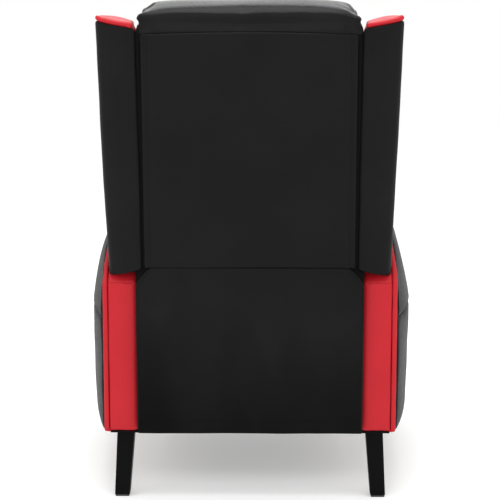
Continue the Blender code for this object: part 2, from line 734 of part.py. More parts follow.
def make_back_cushion(name, low, high, crown_rise, carrier):
    """Cushion in front of the webbing, crowned to the front, with two upright channels."""
    rear = UPRIGHT_FRONT - GAP - WEBBING - GAP
    thick = rear + CUSHION_FRONT

    def shape(place):
        across = place.x / BACK_HALF
        up = (place.z - low) / (high - low) * 2 - 1
        front_share = (rear - place.y) / thick
        drawn = BACK_DRAW * (1 - up ** 2) * math.sin(math.pi * front_share)
        crown = crown_rise * (1 - across ** 4) * (1 - up ** 4)
        groove = BACK_CHANNEL * math.exp(-(2 * (abs(place.x) - BACK_CHANNEL_X) / CHANNEL_HALF) ** 2)
        return Vector((place.x - across * drawn, place.y - front_share * (crown - groove), place.z))

    rows = [grid_lines(-BACK_HALF, BACK_HALF, BACK_EDGE,
                       [*channel_lines(BACK_CHANNEL_X), *channel_lines(-BACK_CHANNEL_X), 0]),
            grid_lines(-CUSHION_FRONT, rear, BACK_EDGE),
            grid_lines(low, high - GAP, BACK_EDGE, even_lines(low, high, 3))]
    add_solid(name, rounded_block(rows, BACK_EDGE, shape), BLACK_LEATHER, carrier)


# Head cushion's skin, from its rear seam over the top to its lower front edge: shares of its
# depth behind or in front of the frame, and of its height above the seam or above its foot
HEAD_REAR_SHARES = ((0.98, 0.0), (1.0, 0.30), (0.97, 0.64), (0.82, 0.88), (0.55, 1.0), (0.2, 1.0))
HEAD_FRONT_SHARES = ((0.0, 0.985), (0.40, 0.95), (0.70, 0.87), (0.90, 0.75), (1.0, 0.57),
                     (1.0, 0.38), (0.95, 0.19), (0.83, 0.07), (0.67, 0.0))


def make_head_cushion(carrier):
    """Cushion that goes over the frame's top rail, from the rear seam to the front."""
    seam = COVER_TOP + GAP
    inside = BACK_FRAME_TOP + GAP
    foot = CHEST_TOP
    rear_face = UPRIGHT_FRONT + UPRIGHT_DEPTH + GAP
    front_face = UPRIGHT_FRONT - GAP - WEBBING - GAP
    skin = [(HEAD_REAR * back, mix(seam, HEAD_TOP, up)) for back, up in HEAD_REAR_SHARES]
    skin += [(-HEAD_FRONT * out, mix(foot, HEAD_TOP, up)) for out, up in HEAD_FRONT_SHARES]
    lining = [(front_face, foot), (front_face, inside), (rear_face, inside), (rear_face, seam)]
    middle = mix(front_face, rear_face, 0.5)

    rings = []
    stations = grid_lines(-BACK_HALF, BACK_HALF, HEAD_EDGE,
                          [*even_lines(-BACK_HALF, BACK_HALF, 5),
                           -BACK_HALF + 2 * HEAD_EDGE, BACK_HALF - 2 * HEAD_EDGE])
    for x in stations:
        side = abs(x) / BACK_HALF
        past = max(0.0, abs(x) - (BACK_HALF - HEAD_EDGE)) / HEAD_EDGE
        drawn = HEAD_DRAW * side ** 4 + HEAD_EDGE * (1 - math.sqrt(max(0.0, 1 - past ** 2))) / 2
        ring = []
        for y, z in skin:
            away = Vector((y - middle, z - seam))
            away *= 1 - drawn / away.length
            ring.append((x, middle + away.x, max(away.y + seam, foot if y < 0 else seam)))
        rings.append(ring + [(x, y, z) for y, z in lining])
    add_solid("head_cushion", loft(rings), GLOSS_LEATHER, carrier)


def make_back_cover(carrier):
    """Thin padded rear panel of the backrest, a little narrower at its top."""
    front = UPRIGHT_FRONT + UPRIGHT_DEPTH + GAP
    edge = COVER_THICK * 0.4

    def shape(place):
        up = (place.z - COVER_FOOT) / (COVER_TOP - COVER_FOOT)
        across = place.x / COVER_HALF_FOOT
        depth = (place.y - front) / COVER_THICK
        crown = COVER_CROWN * (1 - across ** 4) * math.sin(math.pi * up)
        return Vector((across * mix(COVER_HALF_FOOT, COVER_HALF_TOP, up),
                       place.y + depth * crown, place.z))

    rows = [grid_lines(-COVER_HALF_FOOT, COVER_HALF_FOOT, edge,
                       even_lines(-COVER_HALF_FOOT, COVER_HALF_FOOT, 5)),
            grid_lines(front, front + COVER_THICK, edge),
            grid_lines(COVER_FOOT + GAP, COVER_TOP - GAP, edge,
                       even_lines(COVER_FOOT, COVER_TOP, 5))]
    add_solid("back_cover", rounded_block(rows, edge, shape), BLACK_LEATHER, carrier)


# Levels of a wing up its height, and of the dome on its pad: share of the height and of the size
WING_LEVELS = ((0.0, 0.97), (0.012, 0.99), (0.035, 1.0), (0.25, 1.0), (0.5, 1.0), (0.75, 1.0),
               (0.965, 1.0), (0.985, 0.97), (1.0, 0.92))
DOME_LEVELS = ((0.45, 0.80), (0.8, 0.60), (1.0, 0.30))
BEND_SHARES = (0.0, 0.25, 0.5, 0.75, 1.0)


def bend(before, corner, after, reach):
    """Points round a corner, from a reach before it to the same reach after it."""
    start = corner + (before - corner).normalized() * reach
    end = corner + (after - corner).normalized() * reach
    return [start.lerp(corner, share).lerp(corner.lerp(end, share), share)
            for share in BEND_SHARES]


def bow(start, end, bulge):
    """Three points between two others, bulging to the right of the way there."""
    run = end - start
    away = Vector((run.y, -run.x)).normalized()
    return [start.lerp(end, share) + away * bulge * math.sin(math.pi * share)
            for share in (0.25, 0.5, 0.75)]


def inset(line, depth):
    """A line of points moved to its left."""
    moved = []
    for index, point in enumerate(line):
        run = line[min(index + 1, len(line) - 1)] - line[max(index - 1, 0)]
        moved.append(point + Vector((-run.y, run.x)).normalized() * depth)
    return moved


def wing_section(rise):
    """A wing's section at a share of its height: the cover's skin, then the pad's free side."""
    outer = WING_OUTER_X + WING_SPREAD * rise
    seam = Vector((WING_REAR_X, WING_REAR_Y))
    rear = Vector((outer, WING_OUTER_Y))
    front = Vector((outer, -WING_FRONT_Y))
    inner = Vector((WING_REAR_X + WING_SPLAY, -WING_FRONT_Y))
    corner = bend(seam, rear, front, WING_CORNER)
    nose = bend(rear, front, inner, WING_NOSE)
    skin = [seam, *bow(seam, corner[0], -WING_BULGE), *corner,
            *bow(corner[-1], nose[0], -WING_BULGE / 2), nose[0]]
    return skin, [*nose[1:], *bend(front, inner, seam, WING_NOSE)]


def make_wing(side, sign, carrier):
    """Padded wing, with a cover round its rear and outer sides and a dome on its top."""
    def ring(points, rise, size, lift):
        placed = []
        for point in points:
            share = (WING_REAR_Y - point.y) / (WING_REAR_Y + WING_FRONT_Y)
            across = (point.x - WING_REAR_X) / WING_WIDTH
            rear_foot = WING_REAR_FOOT - WING_FOOT_FALL * across
            foot = mix(rear_foot, WING_FRONT_FOOT, share)
            top = WING_TOP + WING_TOP_RISE * across - WING_TOP_FALL * share
            place = middle + (point - middle) * size
            placed.append((sign * place.x, place.y, mix(foot, top, rise) + lift))
        return placed

    middle = Vector((mix(WING_REAR_X, WING_OUTER_X, 0.5), mix(-WING_FRONT_Y, WING_REAR_Y, 0.5)))
    pad, cover = [], []
    levels = [(rise, size, 0) for rise, size in WING_LEVELS]
    for rise, size, lift in levels + [(1, size, WING_DOME * up) for up, size in DOME_LEVELS]:
        skin, free = wing_section(rise)
        lining = inset(skin, -WING_COVER)
        pad.append(ring([*free, *inset(skin, -WING_COVER - 2 * GAP)], rise, size, lift))
        if not lift:
            cover.append(ring([*skin, *reversed(lining)], rise, size, 0))
    add_solid(f"wing_{side}", loft(pad), RED_LEATHER, carrier)
    add_solid(f"wing_cover_{side}", loft(cover), BLACK_LEATHER, carrier)


def back_plane(depth, height):
    """Where a plane of the backrest, behind its hinge by depth, stands at a height."""
    return HINGE_Y + (height - HINGE_Z) * math.tan(BACK_LEAN) + depth / math.cos(BACK_LEAN)


def make_rear_skirt():
    """Padded sheet below the backrest, from the arms' underside to the rear cover."""
    front = ARM_REAR + GAP
    frame_rear = UPRIGHT_FRONT + UPRIGHT_DEPTH + GAP
    top_rear = back_plane(frame_rear + COVER_THICK, SKIRT_TOP)
    thick = SKIRT_FOOT_REAR - front
    shoulder = SKIRT_TOP - SKIRT_SHOULDER

    def shape(place):
        up = (place.z - ARM_BOTTOM) / (SKIRT_TOP - ARM_BOTTOM)
        past = max(0.0, place.z - shoulder) / SKIRT_SHOULDER
        width = SKIRT_HALF - SKIRT_SHOULDER_RUN * past ** 2
        rear = mix(SKIRT_FOOT_REAR, top_rear, up)
        near = max(front, back_plane(frame_rear, place.z))
        return Vector((place.x / SKIRT_HALF * width, mix(near, rear, (place.y - front) / thick),
                       place.z))

    rows = [grid_lines(-SKIRT_HALF, SKIRT_HALF, SKIRT_EDGE, even_lines(-SKIRT_HALF, SKIRT_HALF, 3)),
            grid_lines(front, SKIRT_FOOT_REAR, SKIRT_EDGE),
            grid_lines(ARM_BOTTOM, SKIRT_TOP, SKIRT_EDGE,
                       [mix(ARM_BOTTOM, shoulder, 0.5), *even_lines(shoulder, SKIRT_TOP, 3),
                        shoulder])]
    add_solid("rear_skirt", rounded_block(rows, SKIRT_EDGE, shape), BLACK_LEATHER)


# Footrest and its linkage

def pivot_place(pivot):
    """A pivot as a place in the plates' plane."""
    return -pivot[0], pivot[1]


def make_link(name, side, sign, layer, start, end, origin, holes=(), studs=()):
    """Straight steel link in one layer, counted inwards from the side plate."""
    outer = PLATE_INNER_X - LAYER_GAP - layer * (LINK_STEEL + LAYER_GAP)
    inner = outer - LINK_STEEL
    outline = bar_outline(pivot_place(start), pivot_place(end), LINK_RADIUS)
    solid = plate(outline, inner, outer, lambda a, b, level: (sign * level, a, b),
                  holes=[circle(pivot_place(pivot), PIN + PIN_PLAY) for pivot in holes],
                  studs=[pin_stud(pivot_place(pivot), "low", reach, grip)
                         for pivot, reach, grip in studs])
    add_solid(f"{name}_{side}", solid, BLACK_STEEL,
              origin=(sign * inner, *pivot_place(origin)))


def make_linkage(side, sign):
    through = LAYER_GAP + LINK_STEEL + LAYER_GAP
    short = LAYER_GAP - GAP
    make_link("drive_link", side, sign, 0, DRIVE_PIVOT, FRONT_LINK_PIVOT, DRIVE_PIVOT,
              holes=[DRIVE_PIVOT], studs=[(CROSSING, through, True),
                                          (FRONT_LINK_PIVOT, through, True)])
    make_link("rear_link", side, sign, 0, REAR_PIVOT, REAR_LINK_PIVOT, REAR_PIVOT,
              holes=[REAR_PIVOT], studs=[(REAR_LINK_PIVOT, short, None)])
    make_link("cross_link", side, sign, 1, REAR_LINK_PIVOT, FOOTREST_PIVOT, CROSSING,
              holes=[CROSSING, FOOTREST_PIVOT])
    make_link("front_link", side, sign, 1, FRONT_LINK_PIVOT, FOOTREST_LOWER_PIVOT,
              FRONT_LINK_PIVOT, holes=[FRONT_LINK_PIVOT],
              studs=[(FOOTREST_LOWER_PIVOT, short, None)])


def make_footrest(carrier, origin):
    """Board and cushion on two angle brackets, which hang on the cross links."""
    rear = -FOOTREST_PIVOT[0] - BRACKET_HALF
    front = rear - GAP - BOARD
    for side, sign in SIDES:
        outer = PLATE_INNER_X - LAYER_GAP - 2 * (LINK_STEEL + LAYER_GAP)
        inner = outer - LINK_STEEL
        low = FOOTREST_LOWER_PIVOT[1] - BRACKET_REACH
        high = FOOTREST_PIVOT[1] + BRACKET_REACH
        edge = -FOOTREST_PIVOT[0] + BRACKET_HALF
        web = [(rear, low), (edge, low), (edge, high), (rear, high)]
        stud = pin_stud(pivot_place(FOOTREST_PIVOT), "high", LAYER_GAP + LINK_STEEL + LAYER_GAP,
                        grip=True)
        solid = plate(web, inner, outer, lambda a, b, level: (sign * level, a, b), studs=[stud])
        flange_faces(solid, sign, inner, rear, low, high)
        add_solid(f"footrest_bracket_{side}", solid, BLACK_STEEL, carrier, origin)

    add_solid("footrest_board", box((-BOARD_HALF, front, BOARD_FOOT),
                                    (BOARD_HALF, front + BOARD, BOARD_TOP)),
              TIMBER, carrier, origin)

    back = front - GAP
    face = back - FOOTREST_PAD

    def shape(place):
        across = place.x / FOOTREST_HALF
        up = (place.z - FOOTREST_FOOT) / (FOOTREST_TOP - FOOTREST_FOOT) * 2 - 1
        out = (back - place.y) / FOOTREST_PAD
        drawn = FOOTREST_DRAW * (1 - up ** 2) * math.sin(math.pi * out)
        crown = FOOTREST_CROWN * (1 - across ** 4) * (1 - up ** 4)
        return Vector((place.x - across * drawn, place.y + out * (FOOTREST_CROWN - crown), place.z))

    rows = [grid_lines(-FOOTREST_HALF, FOOTREST_HALF, FOOTREST_EDGE,
                       even_lines(-FOOTREST_HALF, FOOTREST_HALF, 7)),
            grid_lines(face, back, FOOTREST_EDGE),
            grid_lines(FOOTREST_FOOT, FOOTREST_TOP, FOOTREST_EDGE,
                       even_lines(FOOTREST_FOOT, FOOTREST_TOP, 3))]
    add_solid("footrest_cushion", rounded_block(rows, FOOTREST_EDGE, shape), BLACK_LEATHER,
              carrier, origin)


def flange_faces(solid, sign, inner, rear, low, high):
    """Pull the strip next to the board out of the web's inner face, as the angle's flange."""
    cut = rear + LINK_STEEL
    bmesh.ops.bisect_plane(solid, geom=[*solid.verts, *solid.edges, *solid.faces],
                           plane_co=(0, cut, 0), plane_no=(0, 1, 0))
    strip = [face for face in solid.faces
             if abs(face.calc_center_median().x - sign * inner) < GAP
             and face.calc_center_median().y < cut]
    pulled = bmesh.ops.extrude_face_region(solid, geom=strip)
    moved = [item for item in pulled["geom"] if isinstance(item, bmesh.types.BMVert)]
    bmesh.ops.translate(solid, verts=moved, vec=(-sign * FLANGE, 0, 0))
    bmesh.ops.delete(solid, geom=strip, context="FACES_ONLY")


# The whole chair

def main():
    for old in list(bpy.data.objects):
        bpy.data.objects.remove(old, do_unlink=True)

    for side, sign in SIDES:
        make_arm(side, sign)
        front_x, rear_x = ARM_INNER_FRONT + LEG_INSET_FRONT, ARM_INNER_REAR + LEG_INSET_REAR
        make_leg(side, sign, "front", front_x, -LEG_FRONT, -LEG_RAKE)
        make_leg(side, sign, "rear", rear_x, LEG_REAR, LEG_RAKE)
        make_side_plate(side, sign)
        make_linkage(side, sign)
    make_base_rails()
    make_seat_frame()
    make_seat_springs()
    make_seat_cushion()
    make_rear_skirt()

    backrest = add_empty("backrest", (0, HINGE_Y, HINGE_Z), -BACK_LEAN)
    make_back_frame(backrest)
    make_back_cover(backrest)
    make_back_cushion("lumbar_cushion", LUMBAR_FOOT, LUMBAR_TOP, LUMBAR_CROWN, backrest)
    make_back_cushion("upper_cushion", LUMBAR_TOP, CHEST_TOP, CHEST_CROWN, backrest)
    make_head_cushion(backrest)
    for side, sign in SIDES:
        make_hinge_bracket(side, sign, backrest)
        make_wing(side, sign, backrest)

    pivot = (0, *pivot_place(FOOTREST_PIVOT))
    make_footrest(add_empty("footrest", pivot), pivot)


main()
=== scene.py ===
"""Looks of a wingback push-back recliner in black and red leather, dressed on its frame.

Lengths are metres and +Z is up. The chair faces -Y, so the sitter's left side is +X.
"""
import json
import math

import bmesh
import bpy
import numpy as np
from numpy import linspace
from mathutils import Matrix, Vector, noise
from mathutils.bvhtree import BVHTree
from mathutils.kdtree import KDTree


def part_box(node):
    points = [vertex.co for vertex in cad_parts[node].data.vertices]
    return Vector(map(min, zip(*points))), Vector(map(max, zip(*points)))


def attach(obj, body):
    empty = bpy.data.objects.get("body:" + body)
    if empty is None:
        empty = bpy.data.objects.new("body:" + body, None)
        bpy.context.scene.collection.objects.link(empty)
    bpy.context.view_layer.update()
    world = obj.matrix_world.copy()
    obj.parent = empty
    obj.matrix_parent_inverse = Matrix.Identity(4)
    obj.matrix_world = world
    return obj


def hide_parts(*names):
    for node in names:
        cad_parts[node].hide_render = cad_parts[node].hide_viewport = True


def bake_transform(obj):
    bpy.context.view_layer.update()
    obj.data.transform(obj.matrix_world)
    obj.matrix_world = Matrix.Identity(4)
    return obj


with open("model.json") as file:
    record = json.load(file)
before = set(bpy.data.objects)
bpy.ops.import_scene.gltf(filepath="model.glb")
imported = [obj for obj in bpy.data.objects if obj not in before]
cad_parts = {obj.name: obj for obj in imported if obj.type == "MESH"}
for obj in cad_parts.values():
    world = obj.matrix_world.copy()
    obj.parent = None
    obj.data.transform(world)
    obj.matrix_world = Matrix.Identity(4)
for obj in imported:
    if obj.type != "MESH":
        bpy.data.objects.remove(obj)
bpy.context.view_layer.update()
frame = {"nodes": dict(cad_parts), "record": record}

# Sizes of the frame that the soft pieces are fitted to
GAP = 0.0003
ARM_BOTTOM = 0.142
ARM_FRONT_TOP = 0.6
SLOPE_RUN = 0.125
SLOPE_FOOT = 0.455
ARM_FRONT = 0.4
ARM_REAR = 0.285
SLOPE_END = ARM_REAR - SLOPE_RUN
ARM_INNER_FRONT = 0.256
ARM_INNER_REAR = 0.238
ARM_OUTER_FRONT = 0.316
ARM_OUTER_REAR = 0.3025
ARM_SEAM = 0.383
ARM_BULGE = 0.043
ARM_CROWN_IN = 0.0225
ARM_SIDE_PAD = 0.014
ARM_INNER_PAD = 0.01
ARM_BAND = 0.012
ARM_LIP = 0.055
BAND_INNER = 0.2285
HINGE = Vector((0, 0.185, 0.4))
BACK_LEAN = math.radians(12)
BACK_HALF = 0.2165
FRAME_FACE = 0.0262             # front of the webbing, where the back cushions lie
FRAME_REAR = 0.0876
SIDES = (("left", 1), ("right", -1))
BACK_TURN = Matrix.Translation(HINGE) @ Matrix.Rotation(-BACK_LEAN, 4, "X")


# Finishes

def maths(operation, swapped=False):
    """A method that adds a Math node for two values, in this order or the other."""
    def method(self, other):
        values = (other, self) if swapped else (self, other)
        return self.finish.node("Math", {"operation": operation}, dict(enumerate(values)))

    return method


class Wire:
    """A value in a shader, on which Python's operators add their Math nodes."""

    def __init__(self, finish, socket):
        self.finish = finish
        self.socket = socket

    __add__, __radd__ = maths("ADD"), maths("ADD", True)
    __sub__, __rsub__ = maths("SUBTRACT"), maths("SUBTRACT", True)
    __mul__, __rmul__ = maths("MULTIPLY"), maths("MULTIPLY", True)
    least = maths("MINIMUM")


class Finish:
    """A material, built up node by node round its Principled shader."""

    def __init__(self, name):
        self.material = bpy.data.materials.new(name)
        self.material.use_nodes = True
        self.tree = self.material.node_tree
        self.shader = self.tree.nodes["Principled BSDF"]

    def connect(self, node, sockets):
        for key, value in sockets.items():
            socket = node.inputs[key]
            if isinstance(value, Wire):
                self.tree.links.new(value.socket, socket)
            else:
                socket.default_value = (*value, 1.0) if socket.type == "RGBA" else value

    def node(self, kind, settings, sockets, output=0):
        """Add a node: first its settings, then the values or links of its sockets."""
        made = self.tree.nodes.new("ShaderNode" + kind)
        for key, value in settings.items():
            if key == "stops":
                elements = made.color_ramp.elements
                while len(elements) < len(value):
                    elements.new(0.5)
                for stop, (place, colour) in zip(elements, value):
                    stop.position = place
                    stop.color = (*colour, 1.0)
            else:
                setattr(made, key, value)
        self.connect(made, sockets)
        return Wire(self, made.outputs[output])

    def place(self, stretch=(1, 1, 1), turn=(0, 0, 0)):
        """Object coordinates, stretched or turned."""
        where = self.node("TexCoord", {}, {}, "Object")
        return self.node("Mapping", {}, {"Vector": where, "Scale": stretch, "Rotation": turn})

    def noise(self, where, scale, detail=3.0, roughness=0.5):
        return self.node("TexNoise", {}, {"Vector": where, "Scale": scale, "Detail": detail,
                                          "Roughness": roughness}, "Fac")

    def bands(self, where, direction, **sockets):
        return self.node("TexWave", {"wave_type": "BANDS", "bands_direction": direction},
                         {"Vector": where, **sockets}, "Fac")

    def blend(self, share, first, second):
        """Mix two colours."""
        return self.node("Mix", {"data_type": "RGBA"}, {0: share, 6: first, 7: second}, 2)

    def surface(self, **sockets):
        self.connect(self.shader, {key.replace("_", " "): value for key, value in sockets.items()})
        return self.material

    def bump(self, height, strength, distance):
        return self.node("Bump", {}, {"Strength": strength, "Distance": distance,
                                      "Height": height})


def leather(name, deep, light, roughness, gloss, grain=0.5, painted_shade_heights=None):
    """Coated leather: pebbled grain with fine pores, faint creases and uneven gloss.

    Its colour may darken with painted shade between two heights, lower first: darkest low down, in
    soft upright folds and towards +X.
    """
    finish = Finish(name)
    where = finish.place()
    pebbles = finish.node("TexVoronoi", {"feature": "DISTANCE_TO_EDGE"},
                          {"Vector": where, "Scale": 430.0, "Randomness": 1.0}, "Distance")
    valleys = pebbles.least(0.22) * 4.5
    pores = finish.noise(where, 1500.0, 2.0)
    creases = finish.noise(finish.place((1.0, 1.0, 2.6), (0.3, 0.2, 0.5)), 46.0, 4.0, 0.62)
    patches = finish.noise(where, 7.0, 3.0)
    height = valleys * 0.62 + pores * 0.2 + creases * 1.3
    cloudy = (patches - 0.5) * 1.5 + 0.5
    colour = finish.blend(cloudy * (0.55 + 0.45 * valleys), deep, light)
    # Painted shade: the colour darkens towards the foot, in soft upright folds and towards +X,
    # standing in for the shade there.
    if painted_shade_heights is not None:
        side_here, height_here = (finish.node("SeparateXYZ", {}, {0: where}, axis)
                                  for axis in (0, 2))
        folds = finish.noise(finish.place((1.0, 1.0, 0.35), (0.0, 0.35, 0.0)), 11.0, 2.0)
        share = (height_here - painted_shade_heights[0]) * (1 / (painted_shade_heights[1] - painted_shade_heights[0]))
        share = share + (folds - 0.44) * 0.95 - side_here * 0.5
        dark = [value * 0.15 for value in deep]
        colour = finish.blend(share, dark, colour)
    shine = roughness + (patches - 0.5) * 0.16 - (valleys - 0.5) * 0.08 + (creases - 0.5) * 0.1
    return finish.surface(Base_Color=colour, Roughness=shine, Specular_IOR_Level=gloss,
                          Normal=finish.bump(height, grain, 0.00035))


def thread(name, colour):
    """Twisted sewing thread."""
    finish = Finish(name)
    strands = finish.bands(finish.place(), "DIAGONAL", Scale=900.0, Distortion=1.0)
    dark = [value * 0.6 for value in colour]
    return finish.surface(Base_Color=finish.blend(strands, dark, colour),
                          Roughness=0.62, Specular_IOR_Level=0.08,
                          Normal=finish.bump(strands, 0.5, 0.0002))


def woven(name, deep, light, pitch):
    """Plain weave, for linings and webbing."""
    finish = Finish(name)
    warp, weft = (finish.bands(finish.place(), axis, Scale=0.314 / pitch, Distortion=0.4)
                  for axis in ("X", "Z"))
    weave = warp * weft
    worn = finish.noise(finish.place(), 22.0)
    return finish.surface(Base_Color=finish.blend(weave * 0.7 + worn * 0.3, deep, light),
                          Roughness=0.85 - worn * 0.1, Specular_IOR_Level=0.12,
                          Normal=finish.bump(weave, 0.6, 0.0004))


def metal(name, deep, light, roughness, metallic, gloss, pebble):
    """Painted or plated steel, with a fine skin and rubbed patches."""
    finish = Finish(name)
    where = finish.place()
    skin = finish.noise(where, pebble, 2.0)
    rubbed = finish.noise(finish.place((1.0, 1.0, 0.25)), 34.0, 5.0, 0.7)
    return finish.surface(Base_Color=finish.blend(rubbed, deep, light),
                          Roughness=roughness + (rubbed - 0.5) * 0.22 + (skin - 0.5) * 0.06,
                          Metallic=metallic, Specular_IOR_Level=gloss,
                          Normal=finish.bump(skin, 0.25, 0.00025))


def timber(name, *colours):
    """Sawn timber with long grain, streaks of darker wood and rough pores."""
    finish = Finish(name)
    along = finish.place((9.0, 9.0, 1.2), (0.02, 0.03, 0.0))
    rings = finish.bands(along, "X", **{"Scale": 3.4, "Distortion": 7.0, "Detail": 3.0,
                                        "Detail Scale": 1.4})
    fibres = finish.noise(finish.place((60.0, 60.0, 6.0)), 8.0, 4.0)
    colour = finish.node("ValToRGB", {"stops": tuple(zip((0.0, 0.5, 1.0), colours))},
                         {0: rings * 0.6 + fibres * 0.4})
    return finish.surface(Base_Color=colour, Roughness=0.62 + fibres * 0.2,
                          Normal=finish.bump(fibres * 0.6 + rings * 0.4, 0.35, 0.0006))


def moulded(name, colour):
    """Moulded nylon with a fine spark texture."""
    finish = Finish(name)
    spark = finish.noise(finish.place(), 1100.0, 2.0)
    light = [value * 1.6 for value in colour]
    return finish.surface(Base_Color=finish.blend(spark, colour, light),
                          Roughness=0.5 + (spark - 0.5) * 0.2,
                          Normal=finish.bump(spark, 0.35, 0.0002))


BLACK_DEEP, BLACK_LIGHT = (0.0054, 0.0054, 0.0057), (0.0106, 0.0106, 0.0109)
BLACK = leather("black_leather", BLACK_DEEP, BLACK_LIGHT, 0.46, 0.07)
# the skirt's leather: a copy of the black leather with painted shade, darker towards its foot
SKIRT = leather("skirt_leather_painted_shade", BLACK_DEEP, BLACK_LIGHT, 0.46, 0.07, painted_shade_heights=(0.1, 0.42))
GLOSS = leather("gloss_leather", (0.005, 0.005, 0.0054), (0.008, 0.008, 0.0086), 0.27, 0.1)
RED = leather("red_leather", (0.43, 0.009, 0.016), (0.53, 0.015, 0.024), 0.46, 0.2, 0.42)
BLACK_THREAD = thread("black_thread", (0.003, 0.003, 0.0032))
RED_THREAD = thread("red_thread", (0.3, 0.01, 0.016))
# black lining cloth, darker than real cloth: painted shade in the deep gaps round the backrest that
# it closes
LINING_PAINTED_SHADE = woven("black_lining_painted_shade", (0.0012, 0.0012, 0.0013), (0.0035, 0.0035, 0.0037), 0.0011)
STAINED_TIMBER = timber("stained_timber", (0.004, 0.0036, 0.0032), (0.008, 0.007, 0.006),
                        (0.014, 0.012, 0.01))
STAINED = ("footrest_board", "seat_frame", "back_upright_left", "back_upright_right",
           "back_top_rail", "back_bottom_rail", "rear_rail", "side_rail_left", "side_rail_right")
CAD_FINISHES = {
    "timber": timber("sawn_timber", (0.36, 0.22, 0.11), (0.55, 0.38, 0.21), (0.66, 0.49, 0.3)),
    "black_steel": metal("black_steel", (0.0012, 0.0012, 0.0013), (0.0032, 0.0032, 0.0034),
                         0.4, 0.0, 0.06, 900.0),
    "zinc_steel": metal("zinc_steel", (0.4, 0.4, 0.41), (0.62, 0.62, 0.6),
                        0.34, 1.0, 0.5, 260.0),
    "spring_steel": metal("spring_steel", (0.16, 0.16, 0.17), (0.3, 0.3, 0.3),
                          0.32, 1.0, 0.5, 400.0),
    "webbing": woven("webbing", (0.03, 0.03, 0.034), (0.1, 0.1, 0.11), 0.0021),
    "nylon": moulded("nylon", (0.014, 0.014, 0.015)),
}


# Meshes

CLOTH = {"quality": 4, "mass": 0.3, "tension_stiffness": 8.0, "compression_stiffness": 8.0,
         "shear_stiffness": 3.0, "bending_stiffness": 0.6, "use_pressure": True,
         "uniform_pressure_force": 4.0}
CLOTH_FRAMES = 20
THREAD = 0.00055
THIN_THREAD = 0.0004
SEWN_STEP = 0.0025              # between the points of a line that is sewn in
LAID_STEP = 0.006               # and of one that is laid on a pad


def mix(first, second, share):
    return first + (second - first) * share


def smooth_step(value):
    value = np.clip(value, 0, 1)
    return value * value * (3 - 2 * value)


def unit(vectors):
    return vectors / np.linalg.norm(vectors, axis=-1, keepdims=True)


def round_off(distance, radius):
    """How far a surface falls away near an edge that is rounded with a radius."""
    past = np.clip(1 - distance / radius, 0, 1)
    return radius * (1 - np.sqrt(1 - past ** 2))


def add_piece(name, points, faces, finish):
    """A shaded mesh object with outward faces."""
    mesh = bpy.data.meshes.new(name)
    mesh.from_pydata([tuple(point) for point in points], [], [tuple(face) for face in faces])
    work = bmesh.new()
    work.from_mesh(mesh)
    bmesh.ops.recalc_face_normals(work, faces=work.faces)
    work.to_mesh(mesh)
    work.free()
    mesh.shade_smooth()
    mesh.materials.append(finish)
    piece = bpy.data.objects.new(name, mesh)
    bpy.context.scene.collection.objects.link(piece)
    return piece


def ring_faces(first, count, around):
    """Faces, with flat ends, over rings of points whose numbers begin at the first."""
    last = first + (count - 1) * around
    faces = []
    for here in range(first, last, around):
        for index in range(around):
            after = (index + 1) % around
            faces.append((here + index, here + after, here + around + after, here + around + index))
    return [*faces, range(first, first + around), range(last, last + around)]


def loft(name, rings, finish):
    """Skin with flat ends through rings of equally many points."""
    rings = np.asarray(rings, float)
    return add_piece(name, rings.reshape(-1, 3), ring_faces(0, *rings.shape[:2]), finish)


def edge_lines(low, high, edge, step):
    """Grid lines from low to high, closer round the two soft edges."""
    arc = [edge * (1 - math.tan(math.pi / 4 * turn)) for turn in (1.0, 0.75, 0.5, 0.25, 0.0)]
    count = max(1, round((high - low - 2 * edge) / step))
    middle = [mix(low + edge, high - edge, index / count) for index in range(1, count)]
    return [low + value for value in arc] + middle + [high - value for value in reversed(arc)]


def block(name, low, high, edge, step, shape, finish):
    """Closed grid on a box with soft edges, whose points are then moved by shape(x, y, z)."""
    lines = [edge_lines(first, last, edge, step) for first, last in zip(low, high)]
    keys, faces = {}, []
    last = [len(row) - 1 for row in lines]
    for axis in range(3):
        across, along = (axis + 1) % 3, (axis + 2) % 3
        for end in (0, last[axis]):
            for first in range(last[across]):
                for second in range(last[along]):
                    face = []
                    for out, up in ((0, 0), (1, 0), (1, 1), (0, 1)):
                        key = [end] * 3
                        key[across], key[along] = first + out, second + up
                        face.append(keys.setdefault(tuple(key), len(keys)))
                    faces.append(face)
    points = np.array([[row[index] for row, index in zip(lines, key)] for key in keys])
    core = np.clip(points, np.array(low) + edge, np.array(high) - edge)
    points = core + unit(points - core) * edge
    return add_piece(name, np.stack(shape(*points.T), 1), faces, finish)


def tube(name, path, radius, finish, sides):
    """Round cord of leather along a path, tapered shut at its ends."""
    heading = unit(np.gradient(path, axis=0))
    turns = linspace(0, 2 * math.pi, sides, endpoint=False)[:, None]
    side = np.cross(heading[0], (0.31, 0.52, 0.8))
    rings = []
    for index, (point, ahead) in enumerate(zip(path, heading)):
        side = unit(side - ahead * side.dot(ahead))
        up = np.cross(ahead, side)
        size = radius * (0.35, 0.8, 1.0)[min(2, index, len(path) - 1 - index)]
        rings.append(point + size * (np.cos(turns) * side + np.sin(turns) * up))
    return loft(name, rings, finish)


def run_lengths(path):
    """How far along a path each of its points is."""
    return np.concatenate([[0], np.cumsum(np.linalg.norm(np.diff(path, axis=0), axis=1))])


def look_up(marks, lengths, values):
    """The values, one row for each length, read off at other lengths."""
    return np.stack([np.interp(marks, lengths, column) for column in values.T], 1)


def resample(path, step):
    """Points at even steps along a path."""
    path = np.asarray(path, float)
    lengths = run_lengths(path)
    count = max(2, int(lengths[-1] / step) + 1)
    return look_up(linspace(0, lengths[-1], count), lengths, path)


def read_points(mesh, key="co"):
    """The points or the normals of a mesh, one row for each vertex."""
    values = np.empty(len(mesh.vertices) * 3)
    mesh.vertices.foreach_get(key, values)
    return values.reshape(-1, 3)


def read_skin(piece):
    """The points of a piece and their normals."""
    return read_points(piece.data), read_points(piece.data, "normal")


def write_points(piece, points):
    piece.data.vertices.foreach_set("co", points.ravel())
    piece.data.update()


